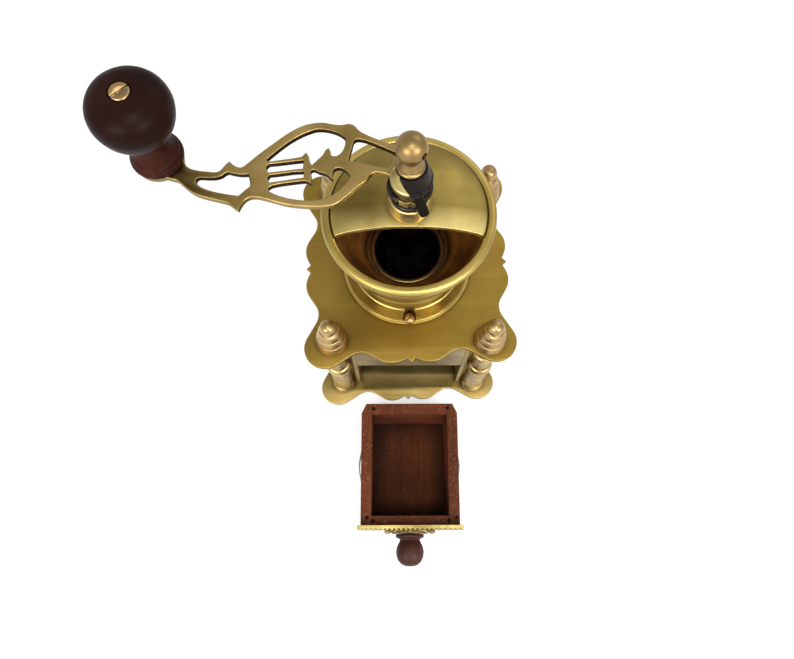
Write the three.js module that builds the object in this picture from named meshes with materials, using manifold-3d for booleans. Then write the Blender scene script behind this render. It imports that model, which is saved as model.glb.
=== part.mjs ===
// Manual coffee grinder: two ogee-edged brass plates on turned columns, a sheet box between
// them, a cast hopper with a half cover, a conical burr mill below it, an openwork crank arm
// with a wooden knob, and a wooden drawer with a brass front.
// Millimetres, +Z up, +Y to the back. The origin is under the middle of the bottom plate.
import * as THREE from "three";
import { mergeVertices } from "three/addons/utils/BufferGeometryUtils.js";
import Module from "manifold-3d";

const wasm = await Module();
wasm.setup();

// Clearances shared by the whole mill
const fit = 0.3;
const overrun = 1;
const weldDepth = 0.2;
const mergeDistance = 1e-4;

// Spindle and the pieces stacked on it
const spindleRadius = 4;
const spindleStudRadius = 2.6;
const spindleShoulder = 1;
const spindleCollarRadius = 6.4;
const spindleCollarHeight = 3;
const setNutRadius = 7.8;
const setNutHeight = 4.4;
const setNutNotches = 8;
const setNutNotchRadius = 0.9;
const lockPlateThickness = 1.5;
const lockPlateWall = 1.7;
const lockPlateWidth = 2 * (spindleRadius + fit + lockPlateWall);
const lockPlateReach = 10.2;
const ballNutRadius = 6.7;
const ballNutHeight = 21.2;
const ballNutSocket = 8;
const ballNutHoleRadius = 0.9;

// Burr mill: the cone sets the ring, its seat in the hopper and the bridge below
const coneWings = 6;
const coneWingDepth = 3;
const coneNeckWall = 1;
const coneTopRadius = spindleRadius + fit + coneWingDepth + coneNeckWall;
const coneBaseRadius = 14.4;
const coneHeight = 30;
const coneTwist = THREE.MathUtils.degToRad(340);
const coneToothShare = 0.18;
const grindGap = 0.36;
const burrRingTeeth = 18;
const burrToothDepth = 0.9;
const burrTaperDepth = 0.9;
const burrToothTurn = THREE.MathUtils.degToRad(16);
const coneFootRadius = coneBaseRadius + coneWingDepth * coneToothShare;
const throatRadius = coneFootRadius + grindGap + burrTaperDepth + burrToothDepth;
const burrSeatStep = 3.1;
const burrSeatRadius = throatRadius + burrSeatStep;
const burrSkin = 1.2;
const coneFootRoom = 3;
const burrRingHeight = coneHeight + coneFootRoom;
const burrRingFlange = 3.6;
const bridgeWidth = 10;
const bridgeThickness = 4;
const bridgeDrop = 5;
const bridgeScrewHeadRadius = 2.8;
const bridgeScrewHeadHeight = 1.8;
const bridgeScrewRadius = 1.5;
const bridgeScrewInset = 5.7;
const bridgeScrewOffset = burrSeatRadius + bridgeScrewInset;
const bridgeScrewMargin = 3;
const burrRingFlangeRadius = bridgeScrewOffset + bridgeScrewMargin;

// Box between the plates: with the columns and the drawer it stands a little to one side
const boxShift = 2;
const boxWall = 2.3;
const burrFlangeGap = 0.4;
const boxHalfWidth = burrRingFlangeRadius + burrFlangeGap + boxShift + boxWall;
const drawerOpeningHeight = 45.5;

// Columns, finials and foot screws
const columnHeight = 96.3;
const columnRadius = 7;
const columnGap = 1.7;
const columnAcross = boxHalfWidth + columnGap + columnRadius;
const columnExtraAlong = 1.3;
const columnAlong = columnAcross + columnExtraAlong;
const boxEndMargin = 0.25;
const boxHalfDepth = columnAlong + boxEndMargin;
const finialRadius = 8.2;
const finialHeight = 30;
const studRadius = 2;
const studLength = 9;
const footScrewHeadRadius = 4.2;
const footScrewHeadHeight = 1.9;
const footScrewLength = 12;

// Plates, fitted a little askew on the columns
const plateThickness = 2.5;
const lobeMargin = 14.7;
const plateHalfWidth = columnAcross + lobeMargin;
const plateTurn = THREE.MathUtils.degToRad(2.3);

// Hopper
const hopperBowlWidth = 25.5;
const hopperRadius = throatRadius + hopperBowlWidth;
const hopperHeight = 65.7;
const hopperScrewHeadRadius = 3.2;
const hopperScrewHeadHeight = 2.1;
const hopperScrewInset = 0.1;
const hopperFlange = 2;
const hopperScrewRoom = 13;
const throatLip = 2.27;

// Half cover with its bearing
const coverGap = 0.65;
const coverRest = 0.2;
const coverRise = 9.88;
const coverWall = 1.2;
const coverFrontEdge = 11;
const crownRadius = 10.4;
const bossRadius = 10.2;
const bossHeight = 8;
const bushWall = 1.5;
const bossNeckWall = 0.5;
const bossNeckRadius = spindleRadius + fit + bushWall + fit + bossNeckWall;
const bossNeckLength = 5.2;
const ringNutHeight = 2.8;
const ringNutWall = 3;
const bushFlangeRadius = 8.6;
const bushFlangeHeight = 2.6;

// Crank arm and its catch: the arm's drawing ends short of the knob's eye
const crankReach = 108.2;
const eyeShift = 1.2;
const armReach = crankReach - eyeShift;
const crankAngle = THREE.MathUtils.degToRad(174.4);
const armThickness = 3;
const hubRadius = 8.5;
const hubTaper = 2.2;
const hubTopRadius = hubRadius - hubTaper;
const hubNeckDepth = 1.1;
const hubBottomRing = 3.3;
const hubDrumHeight = 8.8;
const eyeRadius = 10;
const catchWall = 0.9;
const catchBand = 2.4;
const catchStep = 0.5;
const catchWasher = 1.2;
const catchEdge = 6.9;
const catchTilt = THREE.MathUtils.degToRad(37.7);
const catchTurn = THREE.MathUtils.degToRad(-35.7);
const fingerWidth = 4.6;
const fingerThickness = 1.7;
const fingerDrop = 15;
const fingerLean = 2;
const fingerSlant = THREE.MathUtils.degToRad(11);
const fingerTurn = THREE.MathUtils.degToRad(-70);

// Crank knob
const knobRadius = 17;
const knobHeight = 46;
const knobBore = 2.9;
const knobScrewRadius = 2.6;
const knobScrewHeadRadius = 3.6;
const knobScrewHeadHeight = 1.6;
const knobScrewSlot = 0.9;
const rivetHeadRadius = 4.4;
const rivetHeadHeight = 1.5;

// Drawer
const drawerTravel = 95.2;
const drawerSideGap = 2.6;
const drawerHalfWidth = boxHalfWidth - boxWall - drawerSideGap;
const drawerLength = 70.8;
const drawerHeight = 40;
const drawerSideWall = 6.2;
const drawerFrontWall = 5.2;
const drawerRearWall = 6.6;
const drawerFloor = 4;
const drawerChamferWidth = 2.8;
const drawerChamferLength = 5.8;
const drawerFrontGap = 0.9;
const drawerFrontHalfWidth = boxHalfWidth - boxWall - drawerFrontGap;
const drawerFrontHeight = 44.4;
const drawerFrontThickness = 2;
const scrollRadius = 16.1;
const scrollThickness = 2.6;
const scrollWave = 2.2;
const scrollLobes = 8;
const drawerKnobRadius = 8.2;
const drawerKnobLength = 18.4;
const drawerScrewRadius = 1.8;
const drawerScrewHeadRadius = 3.6;
const drawerScrewHeadHeight = 1.6;
const springThickness = 0.5;
const springHeight = 6;
const springLength = 32;
const springTab = 3;
const springBow = 2.2;

// Fineness of the round forms, as counts of flats in a full turn
const fineFlats = 26;
const knobFlats = 20;
const turnedFlats = 14;
const columnFlats = 12;
const finialFlats = 10;
const screwFlats = 10;
const notchFlats = 6;
const arcStep = THREE.MathUtils.degToRad(20);

// Materials with the colours of the real surfaces
const brass = metal(0xa8925a, 0.38);
const castBrass = metal(0xb59a63, 0.42);
const paleBrass = metal(0xa79a80, 0.55);
const steel = metal(0x3a3634, 0.5);
const iron = metal(0x2c2a29, 0.7);
const darkWood = wood(0x3a1c17);
const redWood = wood(0x6b3523);

function metal(color, roughness) {
  return new THREE.MeshStandardMaterial({ color, roughness, metalness: 1 });
}

function wood(color) {
  return new THREE.MeshStandardMaterial({ color, roughness: 0.55, metalness: 0 });
}

// Heights worked out from the sizes above, two of them from ledges in the hopper
const coverLedgeShare = 0.944;
const throatLedgeShare = 0.345;
const plateTop = plateThickness;
const ceiling = plateTop + columnHeight;
const deck = ceiling + plateThickness;
const coverSeatZ = deck + coverLedgeShare * hopperHeight + coverRest + coverWall;
const crownZ = coverSeatZ + coverRise;
const bossTop = crownZ + bossHeight;
const bushTop = bossTop + bushFlangeHeight;
const setNutBottom = bushTop + fit;
const setNutTop = setNutBottom + setNutHeight;
const lockPlateBottom = setNutTop + fit;
const hubBottom = lockPlateBottom + lockPlateThickness;
const armBottom = hubBottom + hubBottomRing;
const armTop = armBottom + armThickness;
const hubTop = armTop + hubDrumHeight;
const catchTop = hubTop + catchWasher;
const knobBottom = armTop + fit;
const burrShoulder = deck + throatLedgeShare * hopperHeight - throatLip;
const burrTop = burrShoulder - fit;
const burrBottom = burrTop - burrRingHeight;
const bridgeTop = burrBottom - bridgeDrop;
const bridgeBottom = bridgeTop - bridgeThickness;
const drawerBottom = plateTop + fit;
const drawerFaceY = -boxHalfDepth + drawerFrontThickness - drawerTravel;

// Solids: any closed geometry becomes a body that can be cut and joined
function body(geometry) {
  const bare = new THREE.BufferGeometry();
  bare.setAttribute("position", geometry.getAttribute("position"));
  if (geometry.index) bare.setIndex(geometry.index);
  const welded = mergeVertices(bare, mergeDistance);
  const corner = welded.getAttribute("position");
  const order = welded.index.array;
  const at = (i) => new THREE.Vector3().fromBufferAttribute(corner, i);
  const faces = [];
  let volume = 0;
  for (let i = 0; i < order.length; i += 3) {
    const [a, b, c] = [order[i], order[i + 1], order[i + 2]];
    if (a === b || b === c || c === a) continue;
    faces.push([a, b, c]);
    volume += at(a).dot(at(b).cross(at(c)));
  }
  const facingOut = volume > 0 ? faces : faces.map(([a, b, c]) => [a, c, b]);
  const mesh = new wasm.Mesh({
    numProp: 3,
    vertProperties: Float32Array.from(corner.array),
    triVerts: Uint32Array.from(facingOut.flat()),
  });
  mesh.merge();
  return new wasm.Manifold(mesh);
}

function join(first, ...others) {
  return others.reduce((sum, next) => sum.add(next), first);
}

function cut(first, ...others) {
  return others.reduce((rest, next) => rest.subtract(next), first);
}

// A closed profile of [radius, height] points turned round the vertical axis
function turned(profile, flats) {
  const points = profile.map(([radius, height]) => new THREE.Vector2(radius, height));
  points.push(points[0].clone());
  const geometry = new THREE.LatheGeometry(points, flats);
  geometry.rotateX(Math.PI / 2);
  return body(geometry);
}

// A disc, or a ring when it has a bore, between two heights
function disc(radius, bottom, top, flats, bore = 0) {
  return turned([[bore, bottom], [radius, bottom], [radius, top], [bore, top]], flats);
}

// A flat outline pushed up from one height to another
function slab(shape, bottom, top) {
  const geometry = new THREE.ExtrudeGeometry(shape, { depth: top - bottom, bevelEnabled: false });
  geometry.translate(0, 0, bottom);
  return body(geometry);
}

function block(xLow, xHigh, yLow, yHigh, zLow, zHigh) {
  const geometry = new THREE.BoxGeometry(xHigh - xLow, yHigh - yLow, zHigh - zLow);
  geometry.translate((xLow + xHigh) / 2, (yLow + yHigh) / 2, (zLow + zHigh) / 2);
  return body(geometry);
}

function moved(solid, x, y, z = 0) {
  return solid.translate([x, y, z]);
}

function spun(solid, angle) {
  return solid.rotate([0, 0, THREE.MathUtils.radToDeg(angle)]);
}

// The box and the drawer are drawn about their own middle, which stands beside the spindle
function besides(solid) {
  return moved(solid, boxShift, 0);
}

// The named mesh of a body
function piece(name, solid, material) {
  const { vertProperties, triVerts } = solid.getMesh();
  const geometry = new THREE.BufferGeometry();
  geometry.setAttribute("position", new THREE.BufferAttribute(vertProperties, 3));
  geometry.setIndex(new THREE.BufferAttribute(triVerts, 1));
  geometry.computeVertexNormals();
  const mesh = new THREE.Mesh(geometry, material);
  mesh.name = name;
  return mesh;
}

// Profiles are kept as shares of a piece's own radius and height
function scaled(shares, radius, height, base = 0) {
  return shares.map(([r, h]) => [r * radius, base + h * height]);
}

// Plates: a belt laid round wheels gives the lobes, hollows, bellies and beaks of one outline
function belt(wheels) {
  const count = wheels.length;
  const lines = wheels.map(([x, y, reach], i) => {
    const [nextX, nextY, nextReach] = wheels[(i + 1) % count];
    const span = Math.hypot(nextX - x, nextY - y);
    const heading = Math.atan2(nextY - y, nextX - x) - Math.asin((nextReach - reach) / span);
    const normal = [-Math.sin(heading), Math.cos(heading)];
    return {
      heading,
      start: [x - reach * normal[0], y - reach * normal[1]],
      end: [nextX - nextReach * normal[0], nextY - nextReach * normal[1]],
    };
  });
  const points = [];
  wheels.forEach(([x, y, reach], i) => {
    const before = lines[(i + count - 1) % count];
    const after = lines[i];
    if (reach === 0) {
      points.push(after.start);
      return;
    }
    const turnWay = Math.sign(reach);
    const fullTurn = 2 * Math.PI;
    const turn = ((((after.heading - before.heading) * turnWay) % fullTurn) + fullTurn) % fullTurn;
    const steps = Math.max(2, Math.ceil(turn / arcStep));
    for (let k = 0; k <= steps; k++) {
      const heading = before.heading + (turnWay * turn * k) / steps;
      points.push([x + reach * Math.sin(heading), y - reach * Math.cos(heading)]);
    }
  });
  return points;
}

// Wheels of one side, as shares of the plate's half width: lobe, hollow, belly and half a beak
const plateWheelShares = [
  [-0.8026, -0.8026, 0.1974], [-0.4675, -1.0351, -0.1737], [-0.1772, -0.7684, 0.207],
  [-0.036, -0.9307, 0], [0, -0.9702, 0], [0.036, -0.9307, 0],
  [0.1772, -0.7684, 0.207], [0.4675, -1.0351, -0.1737],
];

function plateOutline() {
  const wheels = [];
  for (let quarter = 0; quarter < 4; quarter++) {
    const turn = (quarter * Math.PI) / 2 + plateTurn;
    for (const [x, y, reach] of plateWheelShares) {
      const across = x * Math.cos(turn) - y * Math.sin(turn);
      const along = x * Math.sin(turn) + y * Math.cos(turn);
      wheels.push([across * plateHalfWidth, along * plateHalfWidth, reach * plateHalfWidth]);
    }
  }
  return new THREE.Shape(belt(wheels).map(([x, y]) => new THREE.Vector2(x, y)));
}

const columnPlaces = [
  ["front_left", boxShift - columnAcross, -columnAlong],
  ["front_right", boxShift + columnAcross, -columnAlong],
  ["rear_left", boxShift - columnAcross, columnAlong],
  ["rear_right", boxShift + columnAcross, columnAlong],
];

function countersink(gap) {
  const radius = footScrewHeadRadius + gap;
  return turned([
    [0, -gap],
    [radius, -gap],
    [radius, 0],
    [studRadius + gap, footScrewHeadHeight + gap],
    [studRadius + gap, plateThickness + overrun],
    [0, plateThickness + overrun],
  ], screwFlats);
}

function plates() {
  const outline = plateOutline();
  const footHoles = columnPlaces.map(([, x, y]) => moved(countersink(fit), x, y));
  const lower = cut(slab(outline, 0, plateTop), ...footHoles);
  const hole = (radius, flats) => disc(radius + fit, ceiling - overrun, deck + overrun, flats);
  const studHoles = columnPlaces.map(([, x, y]) => moved(hole(studRadius, screwFlats), x, y));
  const upper = cut(
    slab(outline, ceiling, deck),
    ...studHoles,
    ...hopperScrewPlaces.map(([, x, y]) => moved(hole(studRadius, screwFlats), x, y)),
    ...bridgeScrewPlaces.map(([, x]) => moved(hole(bridgeScrewRadius, screwFlats), x, 0)),
    hole(burrSeatRadius - fit, fineFlats),
  );
  return [piece("bottom_plate", lower, brass), piece("top_plate", upper, brass)];
}

// Columns with base ring, drum, middle bead, neck and top ring
const columnShares = [
  [0.96, 0], [0.96, 0.045], [0.8, 0.06], [0.88, 0.08], [0.88, 0.42], [0.78, 0.45],
  [0.99, 0.475], [1.057, 0.505], [0.99, 0.535], [0.78, 0.56], [0.7, 0.7],
  [0.93, 0.765], [0.93, 0.8], [0.76, 0.82], [0.8, 0.94], [0.95, 0.955], [0.95, 1],
];

function columns() {
  const bore = studRadius + fit;
  const socket = studLength + fit;
  const footSocket = footScrewLength - plateThickness + fit;
  const profile = [
    [0, plateTop + footSocket],
    [bore, plateTop + footSocket],
    [bore, plateTop],
    ...scaled(columnShares, columnRadius, columnHeight, plateTop),
    [bore, ceiling],
    [bore, ceiling - socket],
    [0, ceiling - socket],
  ];
  const column = turned(profile, columnFlats);
  return columnPlaces.map(([place, x, y]) => piece(`column_${place}`, moved(column, x, y), castBrass));
}

// Finials: a beehive of four rounded tiers over a stud that holds the top plate down
const finialTiers = [
  [1, 0.3],
  [0.88, 0.5],
  [0.74, 0.73],
];
const tierGrooveShare = 0.9;
const tierRoundingShare = 0.22;
const finialTipShares = [[0.59, 0.78], [0.59, 0.88], [0.42, 0.97], [0, 1]];

function finials() {
  const shares = [[tierGrooveShare, 0]];
  let below = 0;
  for (const [radius, top] of finialTiers) {
    const rounding = (top - below) * tierRoundingShare;
    shares.push([radius, below + rounding], [radius, top - rounding], [radius * tierGrooveShare, top]);
    below = top;
  }
  shares.push(...finialTipShares);
  const profile = [
    [0, deck - plateThickness - studLength],
    [studRadius, deck - plateThickness - studLength],
    [studRadius, deck],
    ...scaled(shares, finialRadius, finialHeight, deck),
  ];
  const finial = turned(profile, finialFlats);
  return columnPlaces.map(([place, x, y]) => piece(`finial_${place}`, moved(finial, x, y), castBrass));
}

function footScrews() {
  const screw = turned([
    [0, 0],
    [footScrewHeadRadius, 0],
    [studRadius, footScrewHeadHeight],
    [studRadius, footScrewLength],
    [0, footScrewLength],
  ], screwFlats);
  return columnPlaces.map(([place, x, y]) =>
    piece(`foot_screw_${place}`, moved(screw, x, y), castBrass));
}

// Box: two sides, a rear wall and a front panel above the drawer opening
function box() {
  const inner = boxHalfWidth - boxWall;
  const back = boxHalfDepth - boxWall;
  const openingTop = plateTop + drawerOpeningHeight;
  const left = block(-boxHalfWidth, -inner, -boxHalfDepth, boxHalfDepth, plateTop, ceiling);
  const right = block(inner, boxHalfWidth, -boxHalfDepth, boxHalfDepth, plateTop, ceiling);
  const rear = block(-inner, inner, back, boxHalfDepth, plateTop, ceiling);
  const front = block(-inner, inner, -boxHalfDepth, -back, openingTop, ceiling);
  return [
    piece("box_side_left", besides(left), paleBrass),
    piece("box_side_right", besides(right), paleBrass),
    piece("box_rear", besides(rear), paleBrass),
    piece("box_front_panel", besides(front), paleBrass),
  ];
}

// Hopper: a cast bowl with a rolled rim, a stepped waist and a screwed foot flange
const flangeShare = 0.819;
const rimInnerShare = 0.857;
const hopperOuterShares = [
  [flangeShare, 0], [flangeShare, 0.0304], [0.756, 0.0396], [0.763, 0.06], [0.74, 0.115],
  [0.708, 0.152], [0.686, 0.17], [0.69, 0.27], [0.712, 0.31], [0.742, 0.335], [0.742, 0.365],
  [0.728, 0.392], [0.775, 0.53], [0.865, 0.74], [0.95, 0.89], [0.99, 0.92], [1, 0.955],
  [0.982, 0.985], [0.94, 1], [0.885, 0.995], [rimInnerShare, 0.975],
];
const bowlShares = [
  [rimInnerShare, coverLedgeShare], [0.835, coverLedgeShare], [0.822, 0.88], [0.775, 0.74],
  [0.695, 0.61], [0.59, 0.5], [0.505, 0.43], [0.49, throatLedgeShare], [0.452, throatLedgeShare],
  [0.45, 0.36],
];

const hopperScrewCircle = flangeShare * hopperRadius - hopperScrewHeadRadius - hopperScrewInset;
const hopperScrewPlaces = ["front", "rear_right", "rear_left"].map((place, i) => {
  const angle = plateTurn - Math.PI / 2 + (i * 2 * Math.PI) / 3;
  return [place, hopperScrewCircle * Math.cos(angle), hopperScrewCircle * Math.sin(angle)];
});

function hopper() {
  const bowl = turned([
    [burrSeatRadius, deck],
    ...scaled(hopperOuterShares, hopperRadius, hopperHeight, deck),
    ...scaled(bowlShares, hopperRadius, hopperHeight, deck),
    [throatRadius, deck + bowlShares.at(-1)[1] * hopperHeight],
    [throatRadius, burrShoulder],
    [burrSeatRadius, burrShoulder],
  ], fineFlats);
  const shank = disc(studRadius + fit, deck - overrun, deck + hopperFlange + overrun, screwFlats);
  const room = disc(hopperScrewHeadRadius + fit, deck + hopperFlange, deck + hopperScrewRoom, screwFlats);
  const cuts = hopperScrewPlaces.flatMap(([, x, y]) => [moved(shank, x, y), moved(room, x, y)]);
  return piece("hopper", cut(bowl, ...cuts), brass);
}

function hopperScrews() {
  const seat = deck + hopperFlange;
  const screw = turned([
    [0, ceiling],
    [studRadius, ceiling],
    [studRadius, seat],
    [hopperScrewHeadRadius, seat],
    [hopperScrewHeadRadius, seat + hopperScrewHeadHeight / 2],
    [hopperScrewHeadRadius / 2, seat + hopperScrewHeadHeight],
    [0, seat + hopperScrewHeadHeight],
  ], screwFlats);
  return hopperScrewPlaces.map(([place, x, y]) =>
    piece(`hopper_screw_${place}`, moved(screw, x, y), castBrass));
}

// Half cover: part of a dome that closes the back of the hopper and carries the bearing. The
// dome's curve is the arc that passes through the edge and through the rim of the flat crown.
function domeProfile(radius) {
  const drop = (radius ** 2 - crownRadius ** 2 - coverRise ** 2) / (2 * coverRise);
  const steps = 4;
  const points = [];
  for (let k = 0; k <= steps; k++) {
    const r = radius + ((crownRadius - radius) * k) / steps;
    points.push([r, coverSeatZ - drop + Math.sqrt(radius ** 2 + drop ** 2 - r ** 2)]);
  }
  return points;
}

function cover() {
  const bore = bossNeckRadius + fit;
  const coverRadius = rimInnerShare * hopperRadius - coverGap;
  const outside = domeProfile(coverRadius);
  const dome = turned([
    ...outside,
    [bore, crownZ],
    [bore, crownZ - coverWall],
    ...outside.map(([r, z]) => [r, z - coverWall]).reverse(),
  ], fineFlats);
  const wide = coverRadius + overrun;
  const frontCut = block(-wide, wide, -wide, -coverFrontEdge, deck, crownZ + overrun);
  return piece("hopper_cover", cut(dome, frontCut), brass);
}

const bossShares = [[1, 0], [1, 0.1], [0.9, 0.3], [0.85, 0.6], [0.87, 0.8], [0.87, 0.94], [0.8, 1]];

function bearing() {
  const bore = spindleRadius + fit;
  const bushRadius = bore + bushWall;
  const bossBore = bushRadius + fit;
  const neckBottom = crownZ - bossNeckLength;
  const boss = turned([
    [bossBore, neckBottom],
    [bossNeckRadius, neckBottom],
    [bossNeckRadius, crownZ],
    ...scaled(bossShares, bossRadius, bossHeight, crownZ),
    [bossBore, bossTop],
  ], turnedFlats);
  const nutTop = crownZ - coverWall;
  const nutRadius = bossNeckRadius + fit + ringNutWall;
  const ringNut = disc(nutRadius, nutTop - ringNutHeight, nutTop, turnedFlats, bossNeckRadius + fit);
  const bush = turned([
    [bore, neckBottom],
    [bushRadius, neckBottom],
    [bushRadius, bossTop],
    [bushFlangeRadius, bossTop],
    [bushFlangeRadius, bushTop],
    [bore, bushTop],
  ], turnedFlats);
  return [
    piece("bearing_boss", boss, brass),
    piece("boss_ring_nut", ringNut, brass),
    piece("spindle_bush", bush, steel),
  ];
}

// A tube for the fluted burrs: each side has its own level shares, and a radius and a turn that
// follow the share of the height
function flutedTube(bottom, height, sectors, outside, inside) {
  const ringOf = ({ radiusAt, turnAt = () => 0 }, share) => {
    const ring = [];
    for (let k = 0; k < sectors; k++) {
      const angle = (2 * Math.PI * k) / sectors + turnAt(share);
      const radius = radiusAt(share, k, angle);
      ring.push([radius * Math.cos(angle), radius * Math.sin(angle), bottom + share * height]);
    }
    return ring;
  };
  const rings = [
    ...outside.levelShares.map((share) => ringOf(outside, share)),
    ...inside.levelShares.toReversed().map((share) => ringOf(inside, share)),
  ];
  const positions = rings.flat(2);
  const order = [];
  rings.forEach((_, i) => {
    const next = (i + 1) % rings.length;
    for (let k = 0; k < sectors; k++) {
      const side = (k + 1) % sectors;
      const [a, b, c, d] = [i * sectors + k, i * sectors + side, next * sectors + side, next * sectors + k];
      order.push(a, b, c, a, c, d);
    }
  });
  const geometry = new THREE.BufferGeometry();
  geometry.setAttribute("position", new THREE.Float32BufferAttribute(positions, 3));
  geometry.setIndex(order);
  return body(geometry);
}

const bridgeScrewPlaces = [["left", -bridgeScrewOffset], ["right", bridgeScrewOffset]];

// Outer burr: a toothed iron ring that hangs from a flange under the top plate
function burrRing() {
  const mouth = throatRadius - burrToothDepth;
  const outside = { levelShares: [0, 1], radiusAt: () => burrSeatRadius - fit };
  const inside = {
    levelShares: [0, 0.5, 1],
    turnAt: (share) => burrToothTurn * (share - 0.5),
    radiusAt: (share, k) => mouth - burrTaperDepth * (1 - share) + (k % 2) * burrToothDepth,
  };
  const ring = flutedTube(burrBottom, burrRingHeight, burrRingTeeth * 2, outside, inside);
  const flangeBottom = ceiling - burrRingFlange;
  const flange = disc(burrRingFlangeRadius, flangeBottom, ceiling, fineFlats, burrSeatRadius - burrSkin);
  const holes = bridgeScrewPlaces.map(([, x]) =>
    moved(disc(bridgeScrewRadius + fit, flangeBottom - overrun, ceiling + overrun, screwFlats), x, 0));
  return piece("burr_ring", cut(join(ring, flange), ...holes), iron);
}

// Inner burr: a cone with twisted wings that draw the beans down and fine teeth at its foot
function burrCone() {
  const outside = {
    levelShares: [0, 0.14, 0.28, 0.42, 0.56, 0.7, 0.85, 1],
    radiusAt: (share, k, angle) => {
      const core = coneBaseRadius + (coneTopRadius - coneBaseRadius) * share;
      const wave = Math.cos(coneWings * angle + coneTwist * share);
      const growth = share * Math.min(1, share * 2 + coneToothShare);
      return core + coneWingDepth * wave * (growth + coneToothShare * (1 - share));
    },
  };
  const inside = { levelShares: [0, 1], radiusAt: () => spindleRadius + fit };
  const cone = flutedTube(burrTop - fit - coneHeight, coneHeight, coneWings * 6, outside, inside);
  return piece("burr_cone", cone, iron);
}

// Bridge: an iron strap under the burr ring with the spindle's lower bearing
function bridge() {
  const reach = burrRingFlangeRadius;
  const legInner = burrSeatRadius + fit;
  const legOuter = legInner + bridgeThickness / 2;
  const footTop = ceiling - burrRingFlange;
  const footBottom = footTop - bridgeThickness;
  const half = bridgeWidth / 2;
  const strap = join(
    block(-legOuter, legOuter, -half, half, bridgeBottom, bridgeTop),
    block(-legOuter, -legInner, -half, half, bridgeBottom, footTop),
    block(legInner, legOuter, -half, half, bridgeBottom, footTop),
    block(-reach, -legInner, -half, half, footBottom, footTop),
    block(legInner, reach, -half, half, footBottom, footTop),
  );
  const bearingHole = disc(spindleRadius + fit, bridgeBottom - overrun, bridgeTop + overrun, turnedFlats);
  const holes = bridgeScrewPlaces.map(([, x]) =>
    moved(disc(bridgeScrewRadius + fit, footBottom - overrun, footTop + overrun, screwFlats), x, 0));
  const screw = join(
    disc(bridgeScrewHeadRadius, footBottom - bridgeScrewHeadHeight, footBottom, screwFlats),
    disc(bridgeScrewRadius, footBottom - weldDepth, deck - fit, screwFlats),
  );
  return [
    piece("burr_bridge", cut(strap, bearingHole, ...holes), iron),
    ...bridgeScrewPlaces.map(([place, x]) =>
      piece(`bridge_screw_${place}`, moved(screw, x, 0), steel)),
  ];
}

// Spindle: from the bridge through both burrs and the cover bearing to a thinner stud in the nut
function spindle() {
  const collarTop = bridgeTop + fit + spindleCollarHeight;
  return turned([
    [0, bridgeBottom],
    [spindleRadius, bridgeBottom],
    [spindleRadius, bridgeTop + fit],
    [spindleCollarRadius, bridgeTop + fit],
    [spindleCollarRadius, collarTop],
    [spindleRadius, collarTop],
    [spindleRadius, hubTop - spindleShoulder],
    [spindleStudRadius, hubTop - spindleShoulder],
    [spindleStudRadius, catchTop + ballNutSocket],
    [0, catchTop + ballNutSocket],
  ], turnedFlats);
}

function setNut() {
  const ring = disc(setNutRadius, setNutBottom, setNutTop, knobFlats, spindleRadius + fit);
  const notch = disc(setNutNotchRadius, setNutBottom - overrun, setNutTop + overrun, notchFlats);
  const notches = [];
  for (let k = 0; k < setNutNotches; k++) {
    const angle = (2 * Math.PI * k) / setNutNotches;
    notches.push(moved(notch, setNutRadius * Math.cos(angle), setNutRadius * Math.sin(angle)));
  }
  return piece("grind_set_nut", cut(ring, ...notches), brass);
}

// Lock plate: a steel bar under the hub whose rounded ends stand out at the sides
function lockPlate() {
  const bar = block(
    -lockPlateReach, lockPlateReach, -lockPlateWidth / 2, lockPlateWidth / 2, lockPlateBottom, hubBottom);
  const round = disc(lockPlateReach, lockPlateBottom - overrun, hubBottom + overrun, fineFlats);
  const bore = disc(spindleRadius + fit, lockPlateBottom - overrun, hubBottom + overrun, turnedFlats);
  return piece("lock_plate", cut(bar.intersect(round), bore), steel);
}

// Crank arm outline and windows, as shares of the drawing's own reach
const armOutlineStretches = [
  // Upper strut, shoulder and the long shoulder curve to the upper cusp
  [[0.04, 0.128], [0.08, 0.148], [0.131, 0.161], [0.187, 0.18], [0.222, 0.197], [0.248, 0.221], [0.27, 0.227],
    [0.297, 0.22], [0.33, 0.218], [0.374, 0.223], [0.411, 0.217], [0.45, 0.203], [0.486, 0.18],
    [0.523, 0.149], [0.561, 0.11], [0.617, 0.051], [0.654, 0.007], [0.673, -0.01], [0.69, -0.012],
    [0.71, -0.003], [0.727, 0.01]],
  [[0.727, 0.01], [0.74, -0.006], [0.757, -0.034], [0.776, -0.043], [0.804, -0.044], [0.841, -0.043],
    [0.87, -0.038], [0.893, -0.028], [0.906, -0.008]],
];
const armLowerStretches = [
  [[0.963, -0.088], [0.935, -0.094], [0.916, -0.097], [0.897, -0.11], [0.879, -0.124], [0.851, -0.142],
    [0.813, -0.155], [0.766, -0.164], [0.729, -0.169], [0.698, -0.177], [0.672, -0.193], [0.657, -0.201]],
  [[0.657, -0.201], [0.65, -0.178], [0.637, -0.155], [0.617, -0.141], [0.589, -0.138], [0.542, -0.146],
    [0.486, -0.157], [0.43, -0.161], [0.374, -0.159], [0.318, -0.152], [0.28, -0.137], [0.252, -0.11],
    [0.224, -0.079], [0.196, -0.047], [0.172, -0.024], [0.161, 0], [0.147, 0.013], [0.126, 0.016],
    [0.094, 0.012], [0.07, 0]],
];
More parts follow.
